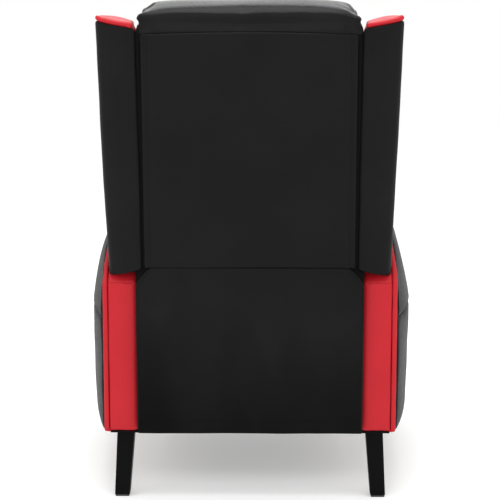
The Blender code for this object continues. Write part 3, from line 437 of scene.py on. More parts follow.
def apply_modifiers(piece):
    """Bake a piece's modifiers into its mesh."""
    bpy.context.view_layer.update()
    ready = piece.evaluated_get(bpy.context.evaluated_depsgraph_get())
    baked = bpy.data.meshes.new_from_object(ready)
    piece.modifiers.clear()
    piece.data = baked
    baked.shade_smooth()


def subdivide(piece):
    piece.modifiers.new("subdivide", "SUBSURF").levels = 1
    apply_modifiers(piece)


def ramp(axis, start, width):
    """A mask from 0 at a start along an axis to 1 a width further. Along X it counts outwards."""
    def mask(points):
        along = np.abs(points[:, 0]) if axis == 0 else points[:, axis]
        return smooth_step((along - start) / width)

    return mask


def puff(piece, voxel, cap, inset, limit, hold):
    """Swell a pad with cloth under pressure, then subdivide it.

    The pad starts inset from its shape. No point moves further than the cap, points in the
    mask that hold(points) gives stay put, and limit(points) keeps the pad off what it touches.
    """
    remesh = piece.modifiers.new("remesh", "REMESH")
    remesh.mode = "VOXEL"
    remesh.voxel_size = voxel
    apply_modifiers(piece)
    points, normals = read_skin(piece)
    loose = 1 - hold(points)
    drawn_in = normals * (inset * loose)[:, None]
    start = points - drawn_in
    write_points(piece, start)
    cloth = piece.modifiers.new("cloth", "CLOTH")
    for key, value in CLOTH.items():
        setattr(cloth.settings, key, value)
    cloth.settings.effector_weights.gravity = 0.0
    cloth.collision_settings.use_collision = False
    cloth.point_cache.frame_start = 1
    cloth.point_cache.frame_end = CLOTH_FRAMES
    for number in range(1, CLOTH_FRAMES + 1):
        bpy.context.scene.frame_set(number)
    ready = piece.evaluated_get(bpy.context.evaluated_depsgraph_get())
    travel = read_points(ready.data) - start
    far = np.linalg.norm(travel, axis=1)
    travel *= (np.minimum(far, cap) / np.maximum(far, 1e-9) * loose)[:, None]
    moved = start + travel
    piece.modifiers.clear()
    bpy.context.scene.frame_set(1)
    write_points(piece, limit(moved))
    soften = piece.modifiers.new("soften", "SMOOTH")
    soften.factor = 0.5
    soften.iterations = 3
    subdivide(piece)


def sew(piece, paths, depth, width, pucker, pitch, seed):
    """Draw the surface in along sewn lines, with puckers on both sides of them."""
    points, normals = read_skin(piece)
    moved = points.copy()
    reach = 4 * width
    for number, path in enumerate(paths):
        line = resample(path, SEWN_STEP)
        tree = KDTree(len(line))
        for index, spot in enumerate(line):
            tree.insert(spot, index)
        tree.balance()
        near = ((points > line.min(0) - reach) & (points < line.max(0) + reach)).all(1)
        for index in np.flatnonzero(near):
            _, spot, away = tree.find(points[index])
            if away > reach:
                continue
            drop = depth * math.exp(-(away / width) ** 2)
            if pucker:
                along = spot * SEWN_STEP / pitch
                wave = noise.noise((along * 1.9, number * 3.7 + seed, 0.4))
                drop -= pucker * wave * (away / width) * math.exp(-(away / (1.5 * width)) ** 2)
            moved[index] -= normals[index] * drop
    write_points(piece, moved)


def crumple(piece, size, height, seed, mask=None):
    """Uneven soft surface: noise with a length along each axis, raised along the normals."""
    points, normals = read_skin(piece)
    wave = np.array([noise.noise(point) for point in points / np.array(size) + seed * 7.3])
    if mask is not None:
        wave = wave * mask(points)
    write_points(piece, points + normals * (wave * height)[:, None])


def on_surface(piece, path, step):
    """A path laid on a piece, with the surface's normal at each of its points."""
    tree = BVHTree.FromObject(piece, bpy.context.evaluated_depsgraph_get())
    found = [tree.find_nearest(point) for point in resample(path, step)]
    return np.array([hit[0] for hit in found]), np.array([hit[1] for hit in found])


def lay(piece, paths):
    """Paths laid on a piece, ready to be sewn in."""
    return [on_surface(piece, path, LAID_STEP)[0] for path in paths]


def stitch(name, piece, paths, finish, pitch=0.0068, length=0.0046, radius=THREAD):
    """A row of thread stitches along each path on a piece."""
    points, faces = [], []
    sides = 6
    turns = linspace(0, 2 * math.pi, sides, endpoint=False)
    stations = ((-0.5, 0.3, -0.8), (-0.36, 0.9, -0.1), (0.0, 1.0, 0.35), (0.36, 0.9, -0.1),
                (0.5, 0.3, -0.8))
    bpy.context.view_layer.update()
    for path in paths:
        spots, aways = on_surface(piece, path, pitch)
        for index in range(len(spots) - 1):
            ahead = spots[index + 1] - spots[index]
            gap = np.linalg.norm(ahead)
            if gap < pitch / 3 or gap > 3 * pitch:
                continue
            ahead = ahead / gap
            up = unit(aways[index] - ahead * aways[index].dot(ahead))
            side = np.cross(ahead, up)
            faces += ring_faces(len(points), len(stations), sides)
            for along, size, rise in stations:
                middle = spots[index] + ahead * (along * length) + up * (rise * radius)
                points += [middle + radius * size * (math.cos(turn) * side + math.sin(turn) * up)
                           for turn in turns]
    return add_piece(name, points, faces, finish)


def settle(piece, body, node=None):
    """Hang a finished piece on its body, and hide its CAD node if it has one.

    The backrest's pieces are made upright, so they are leaned here.
    """
    if body == "backrest":
        piece.data.transform(BACK_TURN)
    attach(piece, body)
    if node is not None:
        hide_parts(node)


# Arms

PANEL_FRONT = -ARM_FRONT + ARM_BAND + GAP   # ends of the panels between the two bands
PANEL_REAR = ARM_REAR - ARM_BAND - GAP
SEAM_ROLL = 0.011                           # how far from the side seam the leather rolls in
SEAM_PINCH = 0.55


def arm_share(y):
    """How far towards its front a place y along the arm is."""
    return (ARM_REAR - y) / (ARM_REAR + ARM_FRONT)


def arm_inner(y):
    return mix(ARM_INNER_REAR, ARM_INNER_FRONT, arm_share(y))


def arm_outer(y):
    return mix(ARM_OUTER_REAR, ARM_OUTER_FRONT, arm_share(y))


def arm_fullness(y):
    """How much of its bulge the arm has there: all of it, except near its rear end."""
    return 1 - (1 - min(1.0, max(0.0, arm_share(y)))) ** 6


def arm_top(y):
    if y > SLOPE_END:
        return SLOPE_FOOT + ARM_REAR - y
    return mix(SLOPE_FOOT + SLOPE_RUN, ARM_FRONT_TOP, (SLOPE_END - y) / (SLOPE_END + ARM_FRONT))


def roll_x(y, share):
    """Outer side of the top pad, at a share of its height above the seam."""
    rolled = 1 - (1 - min(1.0, share) ** 1.3) ** 0.625
    full = arm_outer(y) + arm_fullness(y) * ARM_BULGE
    up_slope = min(1.0, (ARM_REAR - y) / SLOPE_RUN)
    return mix(full, ARM_OUTER_REAR - ARM_CROWN_IN * up_slope ** 2.5, rolled)


def side_x(y, z):
    """Outer side of the panel below the seam."""
    up = (z - ARM_BOTTOM) / (ARM_SEAM - ARM_BOTTOM)
    swell = ARM_BULGE - 0.006 * (1 - up) ** 1.5
    tuck = round_off(z - ARM_BOTTOM, 0.03) * 0.45
    return arm_outer(y) + arm_fullness(y) * (swell - tuck)


def make_outer_panel(side, sign):
    """Side of the arm below its seam, bulging and tucked in at the foot."""
    front, rear = PANEL_FRONT, PANEL_REAR
    top = ARM_SEAM - GAP
    heights = [mix(ARM_BOTTOM + 0.001, top, share)
               for share in (0, 0.008, 0.02, 0.04, 0.07, 0.11, *linspace(0.16, 0.9, 16),
                             0.94, 0.965, 0.982, 0.994, 1.0)]
    rings = []
    lengths = [mix(front + 0.006, rear - 0.006, share ** 0.75) for share in linspace(0, 1, 72)]
    for y in [front, front + 0.002, *lengths, rear - 0.002, rear]:
        pinch = round_off(min(y - front, rear - y), 0.006) * 0.5
        ring = [(arm_outer(y) - ARM_SIDE_PAD, y, ARM_BOTTOM), (arm_outer(y) - 0.004, y, ARM_BOTTOM)]
        for z in heights:
            x = side_x(y, z) - pinch - round_off(top - z, SEAM_ROLL) * SEAM_PINCH
            x -= round_off(z - ARM_BOTTOM, 0.005)
            ring.append((x, y, z))
        ring.append((arm_outer(y) - ARM_SIDE_PAD, y, top))
        rings.append([(sign * x, y, z) for x, y, z in ring])
    piece = loft(f"arm_outer_panel_cover_{side}", rings, BLACK)
    seam = [(sign * side_x(y, top), y, top) for y in linspace(front, rear, 60)]

    def skin(points):
        return smooth_step((np.abs(points[:, 0]) - arm_outer(points[:, 1]) + 0.002) / 0.006)

    crumple(piece, (0.5, 0.16, 0.07), 0.0016, seed=3 + sign, mask=skin)
    sew(piece, [seam], 0.0006, 0.006, 0.0016, 0.03, seed=sign)
    settle(piece, "base", f"arm_outer_panel_{side}")


# Shares across the arm and up its lip, round the inner edge of the top pad
ARM_LIP_SHARES = ((0.008, 0.2), (0.035, 0.53), (0.07, 0.67), (0.12, 0.78), (0.2, 0.87),
                  (0.32, 0.935), (0.5, 0.975), (0.75, 0.995))


def make_top_pad(side, sign):
    """Pad over the arm, from its inner lip round the outer side down to the seam."""
    front, near_rear = PANEL_FRONT, PANEL_REAR
    under_band = (ARM_BAND + GAP) * math.sqrt(2)
    stations = [(front, 0.004), (front + 0.002, 0.0012)]
    stations += [(y, 0.0) for y in linspace(front + 0.006, SLOPE_END - 0.005, 58)]
    stations += [(SLOPE_END - 0.0015, 0.0015), (SLOPE_END, under_band)]
    stations += [(y, under_band) for y in linspace(SLOPE_END + 0.002, near_rear, 14)]
    outer_shares = (*linspace(1.0, 0.9, 5), *linspace(0.86, 0.1, 18), 0.06, 0.035, 0.018,
                    0.006, 0.0)
    lip_shares = ((0.0, 0.0), (0.004, 0.05), ARM_LIP_SHARES[0], (0.018, 0.38), *ARM_LIP_SHARES[1:])
    rings = []
    for y, sunk in stations:
        top = arm_top(y) - sunk
        lip = arm_top(y) - ARM_LIP
        core = mix(ARM_SEAM, arm_top(y), 0.5) + GAP
        inner, outer = arm_inner(y) + ARM_INNER_PAD, arm_outer(y) - ARM_SIDE_PAD
        crown = roll_x(y, 1.0)
        ring = [(mix(arm_inner(y), crown, across), mix(lip, top, up)) for across, up in lip_shares]
        for share in outer_shares:
            z = mix(ARM_SEAM, arm_top(y), share)
            pinch = round_off(z - ARM_SEAM, SEAM_ROLL) * SEAM_PINCH
            ring.append((roll_x(y, share) - pinch, z))
        ring += [(outer, ARM_SEAM), (outer, core), (inner, core), (inner, lip)]
        rings.append([(sign * x, y, z) for x, z in ring])
    piece = loft(f"arm_top_pad_cover_{side}", rings, BLACK)

    def skin(points):
        away = np.abs(points[:, 0]) - (ARM_INNER_FRONT + 0.012)
        return smooth_step(away / 0.02 + 0.2) * smooth_step((SLOPE_END - points[:, 1]) / 0.03 + 0.6)

    crumple(piece, (0.5, 0.11, 0.06), 0.002, seed=5 + sign, mask=skin)
    seam = [(sign * roll_x(y, 0.0), y, ARM_SEAM) for y in linspace(front, near_rear, 60)]
    sew(piece, [seam], 0.0006, 0.006, 0.0018, 0.03, seed=2 + sign)
    thread_line = [(sign * (roll_x(y, 0.04) + 0.001), y, ARM_SEAM + 0.0085)
                   for y in linspace(front + 0.01, near_rear - 0.02, 60)]
    settle(stitch(f"arm_side_stitches_{side}", piece, [thread_line], BLACK_THREAD), "base")
    settle(piece, "base", f"arm_top_pad_{side}")


def fillet_path(corners, radii, step):
    """Path in a plane through rounded corners: each point with its outward normal."""
    def straight(start, end):
        count = max(2, int(np.linalg.norm(end - start) / step))
        return [mix(start, end, share) for share in linspace(0, 1, count, endpoint=False)]

    places = []
    corners = np.array(corners, float)
    last = corners[0]
    for before, corner, after, radius in zip(corners, corners[1:], corners[2:], radii):
        back, ahead = unit(before - corner), unit(after - corner)
        half = math.acos(np.clip(back.dot(ahead), -1, 1)) / 2
        reach = radius / math.tan(half)
        start, end = corner + back * reach, corner + ahead * reach
        centre = corner + unit(back + ahead) * radius / math.sin(half)
        places += straight(last, start)
        places += [centre + unit(mix(start, end, share) - centre) * radius
                   for share in linspace(0, 1, 6)]
        last = end
    places = np.array([*places, *straight(last, corners[-1]), corners[-1]])
    heading = unit(np.gradient(places, axis=0))
    return places, np.stack([heading[:, 1], -heading[:, 0]], 1)


def make_rear_band(side, sign):
    """Red band up the rear face and the slope, with a folded welt along its outer edge."""
    corners = [(ARM_REAR - 0.026, ARM_BOTTOM + 0.0005), (ARM_REAR, ARM_BOTTOM + 0.0005),
               (ARM_REAR, SLOPE_FOOT), (SLOPE_END + GAP, SLOPE_FOOT + SLOPE_RUN - GAP)]
    places, aways = fillet_path(corners, (0.009, 0.012), 0.006)
    welt_width, welt_height = 0.0098, 0.0042
    across = (0.0, 0.015, 0.04, 0.08, 0.13, 0.19, 0.27, *linspace(0.36, 0.86, 9), 0.92, 0.955,
              0.98, 1.0)
    thick = 0.019
    rings, welts = [], []
    for (y, z), (away_y, away_z) in zip(places, aways):
        up_slope = min(1.0, max(0.0, (z - SLOPE_FOOT) / SLOPE_RUN))
        inner = mix(BAND_INNER, arm_inner(SLOPE_END), up_slope)
        edge = roll_x(y, 1.0) if z > SLOPE_FOOT else ARM_OUTER_REAR
        outer = edge - welt_width
        foot = smooth_step((ARM_BOTTOM + 0.05 - z) / 0.05)
        crown = 0.0016 * smooth_step((z - ARM_BOTTOM) / 0.05)
        ring = []
        for share in across:
            x = mix(inner, outer, share)
            sunk = round_off(x - inner, 0.015) * 0.8 + round_off(outer - x, 0.005) * 0.7
            sunk -= crown * (1 - (2 * share - 1) ** 2)
            ring.append((sign * x, y - away_y * sunk, z - away_z * sunk))
        ring += [(sign * x, y - away_y * thick, z - away_z * thick) for x in (outer, inner)]
        rings.append(ring)
        welt = []
        hook = 0.014 * smooth_step((ARM_REAR - 0.003 - y) / 0.012) * (z < ARM_BOTTOM + 0.02)
        middle = edge - welt_width / 2 + 0.0004 - hook
        for turn in linspace(0, 2 * math.pi, 18, endpoint=False):
            wide, high = (math.copysign(abs(value) ** 0.75, value)
                          for value in (math.cos(turn), math.sin(turn)))
            wide *= welt_width / 2 + 0.0002
            high = high * welt_height - 0.0022 + 0.0008 * foot
            welt.append((sign * (middle + wide), y + away_y * high, z + away_z * high))
        welts.append(welt)
    piece = loft(f"arm_rear_band_cover_{side}", rings, RED)
    subdivide(piece)
    crumple(piece, (0.045, 0.2, 0.09), 0.0012, 11 + 3 * sign, ramp(0, BAND_INNER + 0.004, 0.02))
    fold = [(sign * x, ARM_REAR - 0.002, SLOPE_FOOT + 0.001)
            for x in linspace(0.243, 0.2915, 12)]
    sew(piece, [fold], 0.0016, 0.003, 0.0014, 0.02, seed=4 + sign)
    welt = loft(f"arm_rear_welt_{side}", welts, RED)
    crumple(welt, (0.2, 0.03, 0.03), 0.0006, seed=21 + sign)
    rows = stitch(f"arm_rear_stitches_{side}", piece, [fold], RED_THREAD, 0.006, 0.004, 0.0006)
    settle(rows, "base")
    settle(welt, "base")
    settle(piece, "base", f"arm_rear_band_{side}")


def front_outline(inset):
    """The arm's outline across the chair at its front, shrunk towards its middle by an inset."""
    y = -ARM_FRONT
    top, crown = arm_top(y), roll_x(y, 1.0)
    lip = top - ARM_LIP
    outline = [(arm_inner(y), z) for z in linspace(ARM_BOTTOM, lip, 24)]
    outline += [(mix(arm_inner(y), crown, across), mix(lip, top, up))
                for across, up in ARM_LIP_SHARES]
    outline += [(roll_x(y, share), mix(ARM_SEAM, top, share))
                for share in (*linspace(1.0, 0.9, 4), *linspace(0.84, 0.08, 13))]
    outline += [(side_x(y, z), z) for z in linspace(ARM_SEAM, ARM_BOTTOM + 0.002, 18)]
    outline = np.array(outline)
    middle = outline.min(0) / 2 + outline.max(0) / 2
    half = outline.max(0) / 2 - outline.min(0) / 2
    return middle + (outline - middle) * (1 - inset / half)


def make_front_band(side, sign):
    """Red front of the arm: a crowned panel inside a welt that follows its outline."""
    face = -ARM_FRONT
    profile = ((ARM_BAND, 0.0045), (0.009, 0.0045), (0.006, 0.0049), (0.0045, 0.0062),
               (0.0042, 0.0088), (0.003, 0.0125), (0.002, 0.017), (0.0012, 0.023),
               (0.0006, 0.03), (0.0, 0.039))

    def outline(depth, inset):
        return [(sign * x, face + depth, z) for x, z in front_outline(inset)]

    piece = loft(f"arm_front_band_cover_{side}", [outline(*row) for row in profile], RED)
    crumple(piece, (0.06, 0.3, 0.16), 0.0012, 31 + sign, ramp(1, face + 0.006, -0.004))
    edge = resample(outline(0.0052, 0.0062), LAID_STEP)
    settle(tube(f"arm_front_welt_{side}", edge, 0.003, RED, 10), "base")
    inner = outline(0.003, 0.0132)
    settle(stitch(f"arm_front_stitches_{side}", piece, [inner], RED_THREAD), "base")
    settle(piece, "base", f"arm_front_band_{side}")


def make_inner_panel(side, sign):
    """Thin cover on the arm's inner side, below the lip of the top pad."""
    rings = []
    for y in linspace(PANEL_FRONT, PANEL_REAR, 40):
        inner = arm_inner(y)
        top = arm_top(y) - ARM_LIP - GAP
        ring = [(inner + ARM_INNER_PAD, top), (inner + ARM_INNER_PAD, ARM_BOTTOM)]
        for z in linspace(ARM_BOTTOM, top, 20):
            ring.append((inner + 0.0012 + round_off(top - z, 0.012) * 0.4, z))
        rings.append([(sign * x, y, z) for x, z in ring])
    piece = loft(f"arm_inner_panel_cover_{side}", rings, BLACK)
    settle(piece, "base", f"arm_inner_panel_{side}")


# Backrest, made upright in its own frame and then leaned

COVER_FOOT = 0.1115
COVER_TOP = 0.6
COVER_FRONT = FRAME_REAR + GAP
COVER_THICK = 0.0097
COVER_HALF_FOOT = 0.2145
COVER_HALF_TOP = 0.2105
CHANNEL = 0.115                 # how far out the sewn channels of the cushions run


def seam_rise(x):
    """The seam below the head cushion bows up a little in the middle."""
    return 0.0045 * (1 - (x / BACK_HALF) ** 2) - 0.0025


def make_back_cover():
    """Rear panel of the backrest, with an upright seam close to each side."""
    def shape(x, y, z):
        up = (z - COVER_FOOT) / (COVER_TOP - COVER_FOOT)
        across = x / COVER_HALF_FOOT
        crown = 0.0022 * (1 - across ** 4) * np.sin(math.pi * np.clip(up, 0, 1)) ** 0.6
        top = smooth_step((up - 0.8) / 0.2)
        depth = (y - COVER_FRONT) / COVER_THICK
        half = mix(COVER_HALF_FOOT, COVER_HALF_TOP, up)
        return across * half, y + depth * crown, z + top * seam_rise(x)

    piece = block("back_cover_panel", (-COVER_HALF_FOOT, COVER_FRONT, COVER_FOOT + GAP),
                  (COVER_HALF_FOOT, COVER_FRONT + COVER_THICK, COVER_TOP - GAP), 0.0045, 0.0075,
                  shape, BLACK)
    subdivide(piece)
    rear = COVER_FRONT + COVER_THICK
    skin = ramp(1, rear - 0.004, 0.004)
    crumple(piece, (0.16, 1.0, 0.28), 0.0026, 41, skin)
    crumple(piece, (0.05, 1.0, 0.12), 0.0007, 43, skin)
    seams = [[(sign * (mix(COVER_HALF_FOOT, COVER_HALF_TOP, up) - 0.0085), rear,
               mix(COVER_FOOT + 0.003, COVER_TOP - 0.003, up)) for up in linspace(0, 1, 12)]
             for sign in (1, -1)]
    sew(piece, seams, 0.0022, 0.0022, 0.0007, 0.05, seed=6)
    inside = [[(x - math.copysign(0.0042, x), y, z) for x, y, z in seam] for seam in seams]
    rows = stitch("back_cover_stitches", piece, inside, BLACK_THREAD, radius=THIN_THREAD)
    settle(rows, "backrest")
    # linings that close the gaps at the foot and top of the back cover; partly lining, partly painted
    # shade
    for name, half, outline in (
            ("foot", 0.2335, ((0.0879, 0.045), (0.0887, 0.045), (0.0887, COVER_FOOT + 0.002),
                              (0.0879, COVER_FOOT + 0.002))),
            ("top", 0.2202, ((0.0879, 0.58), (0.0888, 0.58), (0.0888, 0.6012), (0.029, 0.6012),
                             (0.029, 0.6002), (0.0879, 0.6002)))):
        rings = [[(x, y, z) for y, z in outline] for x in linspace(-half, half, 12)]
        settle(loft(f"back_{name}_lining", rings, LINING_PAINTED_SHADE), "backrest")
    settle(piece, "backrest", "back_cover")


def make_head_cushion():
    """Pad over the top of the backrest, gathered at both ends, in a glossier leather."""
    seam, inside, foot = COVER_TOP - 0.002, 0.5983, 0.44
    head_top, head_rear, head_front = 0.64, 0.1005, 0.082
    half = 0.2205
    rear_shares = ((0.955, 0.0), (0.985, 0.02), (1.0, 0.12), (1.0, 0.34), (1.0, 0.56),
                   (0.99, 0.75), (0.955, 0.9), (0.88, 0.975), (0.72, 1.0), (0.45, 1.0), (0.2, 1.0))
    front_shares = ((0.0, 0.99), (0.25, 0.972), (0.48, 0.935), (0.68, 0.875), (0.84, 0.79),
                    (0.94, 0.69), (1.0, 0.57), (1.0, 0.38), (0.96, 0.22), (0.88, 0.1),
                    (0.76, 0.025), (0.62, 0.0))
    skin = [(head_rear * back, mix(seam, head_top, up)) for back, up in rear_shares]
    skin += [(-head_front * out, mix(foot, head_top, up)) for out, up in front_shares]
    lining = [(FRAME_FACE, foot), (FRAME_FACE, inside), (FRAME_REAR + GAP, inside),
              (FRAME_REAR + GAP, seam)]
    middle = (FRAME_FACE + FRAME_REAR) / 2
    ends = (half - 0.01, half - 0.004, half - 0.001, half)
    rings = []
    for x in (*(-x for x in reversed(ends)), *linspace(-0.2, 0.2, 29), *ends):
        drawn = 0.004 * (abs(x) / half) ** 4 + round_off(half - abs(x), 0.01) * 0.5
        ring = []
        for y, z in skin:
            away = np.array((y - middle, z - seam))
            away *= 1 - drawn / np.linalg.norm(away)
            ring.append((x, middle + away[0], max(away[1] + seam, foot if y < 0 else seam)))
        rings.append(ring + [(x, y, z) for y, z in lining])
    piece = loft("head_cushion_cover", rings, GLOSS)

    def hold(points):
        depth = np.minimum(points[:, 1] - FRAME_FACE + 0.004, FRAME_REAR + 0.005 - points[:, 1])
        below = smooth_step((inside + 0.012 - points[:, 2]) / 0.01)
        edge = smooth_step((seam + 0.007 - points[:, 2]) / 0.004) * (points[:, 1] > FRAME_REAR)
        return np.maximum(smooth_step(depth / 0.004 + 0.2) * below, edge)

    def limit(points):
        points[:, 0] = np.clip(points[:, 0], -half - 0.0015, half + 0.0015)
        points[:, 1] = np.clip(points[:, 1], -head_front - 0.014, head_rear + 0.002)
        lowest = np.where(points[:, 1] > FRAME_REAR - 0.001, seam, foot + 0.0005)
        points[:, 2] = np.clip(points[:, 2], lowest, head_top + 0.0065)
        return points

    puff(piece, 0.006, 0.011, 0.004, limit, hold)
    moved = read_points(piece.data)
    near_seam = smooth_step((0.622 - moved[:, 2]) / 0.02) * (moved[:, 1] > FRAME_REAR - 0.004)
    moved[:, 2] += near_seam * seam_rise(moved[:, 0])
    full = smooth_step((moved[:, 2] - 0.618) / 0.016) * smooth_step((moved[:, 1] - 0.03) / 0.03)
    moved[:, 0] *= 1 + 0.014 * full * smooth_step((np.abs(moved[:, 0]) - 0.15) / 0.07)
    arch = 0.0012 - 0.0125 * (np.abs(moved[:, 0]) / half) ** 6
    moved[:, 2] += arch * smooth_step((moved[:, 2] - 0.61) / 0.03)
    write_points(piece, moved)
    crumple(piece, (0.16, 0.5, 0.06), 0.0022, 51)
    crumple(piece, (0.035, 0.022, 0.022), 0.0052, 53, ramp(0, 0.17, 0.05))
    loops = [[(sign * (half - 0.004), middle + (y - middle) * 0.95, mix(seam, z, 0.97))
              for y, z in skin] for sign in (1, -1)]
    sew(piece, loops, 0.0026, 0.004, 0.005, 0.022, seed=8)
    pleats = [[(sign * (half - 0.004 - 0.024 * share), head_rear + 0.001, mix(start, end, share))
               for share in linspace(0, 1, 8)]
              for sign in (1, -1) for start, end in ((0.617, 0.634), (0.607, 0.612))]
    sew(piece, pleats, 0.0085, 0.0068, 0.0, 0.03, seed=10)
    front_seam = [(x, -head_front - 0.004, 0.56) for x in linspace(-0.205, 0.205, 30)]
    sew(piece, [front_seam], 0.007, 0.0075, 0.003, 0.04, seed=9)
    settle(piece, "backrest", "head_cushion")


def pad_crown(rise, across, along, power=4):
    """How high a pad stands: the rise in its middle, and none at its edges, at -1 and 1."""
    return rise * (1 - across ** 4) * (1 - np.clip(np.abs(along), 0, 1) ** power)


def sew_channels(name, piece, lines, depth, width, pucker, pitch, seed):
    """Sew lines into a pad, once they are laid on it, and stitch them in red."""
    lines = lay(piece, lines)
    sew(piece, lines, depth, width, pucker, pitch, seed)
    return stitch(name, piece, lines, RED_THREAD)


def make_back_cushion(name, low, high, crown_rise, seed):
    """Pad with two sewn upright channels, crowned to the front."""
    face = -0.045

    def shape(x, y, z):
        across, up = x / BACK_HALF, (z - low) / (high - low) * 2 - 1
        out = (FRAME_FACE - y) / (FRAME_FACE - face)
        drawn = 0.005 * (1 - up ** 2) * np.sin(math.pi * np.clip(out, 0, 1))
        return x - across * drawn, y - out * pad_crown(crown_rise, across, up), z

    piece = block(name + "_cover", (-BACK_HALF, face, low), (BACK_HALF, FRAME_FACE, high - GAP),
                  0.022, 0.02, shape, BLACK)
    least = (-BACK_HALF - 0.0015, face - crown_rise - 0.01, low + 0.0002)
    most = (BACK_HALF + 0.0015, FRAME_FACE, high - 0.0005)
    puff(piece, 0.0058, 0.024, 0.01, lambda points: np.clip(points, least, most),
         ramp(1, FRAME_FACE - 0.004, 0.004))
    crumple(piece, (0.09, 0.3, 0.035), 0.0026, seed, ramp(1, FRAME_FACE - 0.02, -0.02))
    lines = [[(sign * CHANNEL, face - crown_rise - 0.008, z)
              for z in linspace(low + 0.012, high - 0.012, 20)] for sign in (1, -1)]
    rows = sew_channels(name + "_cover_stitches", piece, lines, 0.009, 0.007, 0.0036, 0.03, seed)
    settle(rows, "backrest")
    settle(piece, "backrest", name)


WING_INNER = 0.2203
WING_OUTER = 0.289
WING_REAR = 0.09
WING_FRONT = -0.052
WING_TOP = 0.6115
WING_AROUND = 132               # points round a wing
WING_WRAP, WING_SEAM = 10, 77   # of these, where its cover begins and ends


def wing_foot(x, y):
    """Height of a wing's foot, level at the rear corner and rising towards the front."""
    rear = 0.1065 - 0.018 * (x - WING_INNER) / (WING_OUTER - WING_INNER)
    return mix(rear, 0.186, max(0.0, (WING_REAR - y) / (WING_REAR - WING_FRONT) - 0.13) / 0.87)


def wing_top(x, y):
    """Height of a wing's top, which rises outwards and falls towards its inner front corner."""
    out = min(1.1, max(0.0, (x - WING_INNER) / (WING_OUTER - WING_INNER)))
    ahead = (WING_REAR - y) / (WING_REAR - WING_FRONT)
    rise = 0.0105 * out ** 1.6 * (1 - 0.45 * ahead)
    return WING_TOP + rise - 0.022 * ahead - 0.012 * (1 - min(1, out)) ** 2 * ahead


def wing_side(y):
    """The wing's inner side, which leaves the cushions towards the front."""
    return WING_INNER + 0.014 * (WING_REAR - y) / (WING_REAR - WING_FRONT)


def wing_section(rise):
    """Points round a wing at a share of its height, with their outward directions."""
    outer = WING_OUTER - 0.002 + 0.0095 * rise
    start = (wing_side(0.045), 0.045)
    corners = [start, (WING_INNER, WING_REAR), (0.254, WING_REAR + 0.003), (outer, 0.0735),
               (outer + 0.002, 0.01), (outer - 0.001, WING_FRONT),
               (wing_side(WING_FRONT), WING_FRONT), start]
    places, aways = fillet_path(corners, (0.005, 0.09, 0.0165, 0.9, 0.024, 0.022), 0.003)
    lengths = run_lengths(places)
    marks = linspace(0, lengths[-1], WING_AROUND, endpoint=False)
    return [look_up(marks, lengths, values) for values in (places, -aways)]


def wing_ring(sign, rise, size, lift, offset):
    """One ring of a wing, offset outwards by an amount for each of its points."""
    places, aways = wing_section(rise)
    middle = np.array((0.255, 0.022))
    ring = []
    for place in middle + (places + aways * offset[:, None] - middle) * size:
        top = wing_top(*place)
        height = mix(wing_foot(*place), top, rise) + lift
        inner = smooth_step((WING_INNER + 0.016 - place[0]) / 0.014)
        shoulder = 0.0056 * inner * min(1.2, max(0.0, (height - top) / 0.014 + 1)) ** 1.5
        ring.append((sign * (place[0] + shoulder), place[1], height))
    return ring


def wing_bulge(low, high, amount):
    """Offsets that swell between two seams."""
    share = (np.arange(WING_AROUND) - low) % WING_AROUND / ((high - low) % WING_AROUND)
    return amount * np.sin(math.pi * np.clip(share, 0, 1)) ** 0.55


def make_wing(side, sign):
    """Red pad of a wing, whose top bulges over the seam, with two channels on its inner side."""
    free = wing_bulge(WING_SEAM, WING_WRAP, 0.0062)
    under = wing_bulge(WING_WRAP, WING_SEAM, 0.0034)
    offset = free - under - 0.0012
    foot = ((0.3, -0.001), (0.62, -0.0008), (0.84, 0.0), (0.95, 0.004), (0.99, 0.01))
    brim = wing_bulge(WING_WRAP, WING_SEAM, 0.0022) + free - 0.001
    dome = ((0.99, 0.0002), (1.0, 0.0014), (1.002, 0.0032), (0.992, 0.005), (0.965, 0.0064),
            (0.92, 0.0074), (0.85, 0.0081), (0.75, 0.0086), (0.6, 0.0089), (0.4, 0.0091),
            (0.18, 0.0092))
    rings = [wing_ring(sign, 0, size, lift, offset) for size, lift in foot]
    rings += [wing_ring(sign, rise, 1.0, 0, offset) for rise in linspace(0.035, 0.978, 62)]
    rings.append(wing_ring(sign, 1, 0.985, -0.004, offset))
    rings += [wing_ring(sign, 1, size, lift, brim) for size, lift in dome]
    piece = loft(f"wing_pad_{side}", rings, RED)
    subdivide(piece)
    points, normals = read_skin(piece)
    for x, y, rise in ((WING_OUTER + 0.006, 0.07, 0.006),
                       (WING_INNER + 0.009, WING_REAR - 0.001, 0.002)):
        corner = np.array((sign * x, y, wing_top(x, y) + rise))
        away = np.linalg.norm((points - corner) / (0.006, 0.006, 0.0045), axis=1)
        points += normals * (0.003 * np.exp(-away ** 2))[:, None]
    write_points(piece, points)
    lines = [[(sign * (wing_side(y) - 0.006), y, z)
              for z in linspace(wing_foot(0.22, y) + 0.03, wing_top(0.22, y) - 0.012, 30)]
             for y in (0.04, -0.006)]
    lines = lay(piece, lines)
    crumple(piece, (0.05, 0.05, 0.09), 0.0018, 61 + sign)
    sew(piece, lines, 0.0075, 0.0062, 0.003, 0.026, seed=12 + sign)
    settle(stitch(f"wing_stitches_{side}", piece, lines, BLACK_THREAD), "backrest")
    settle(piece, "backrest", f"wing_{side}")


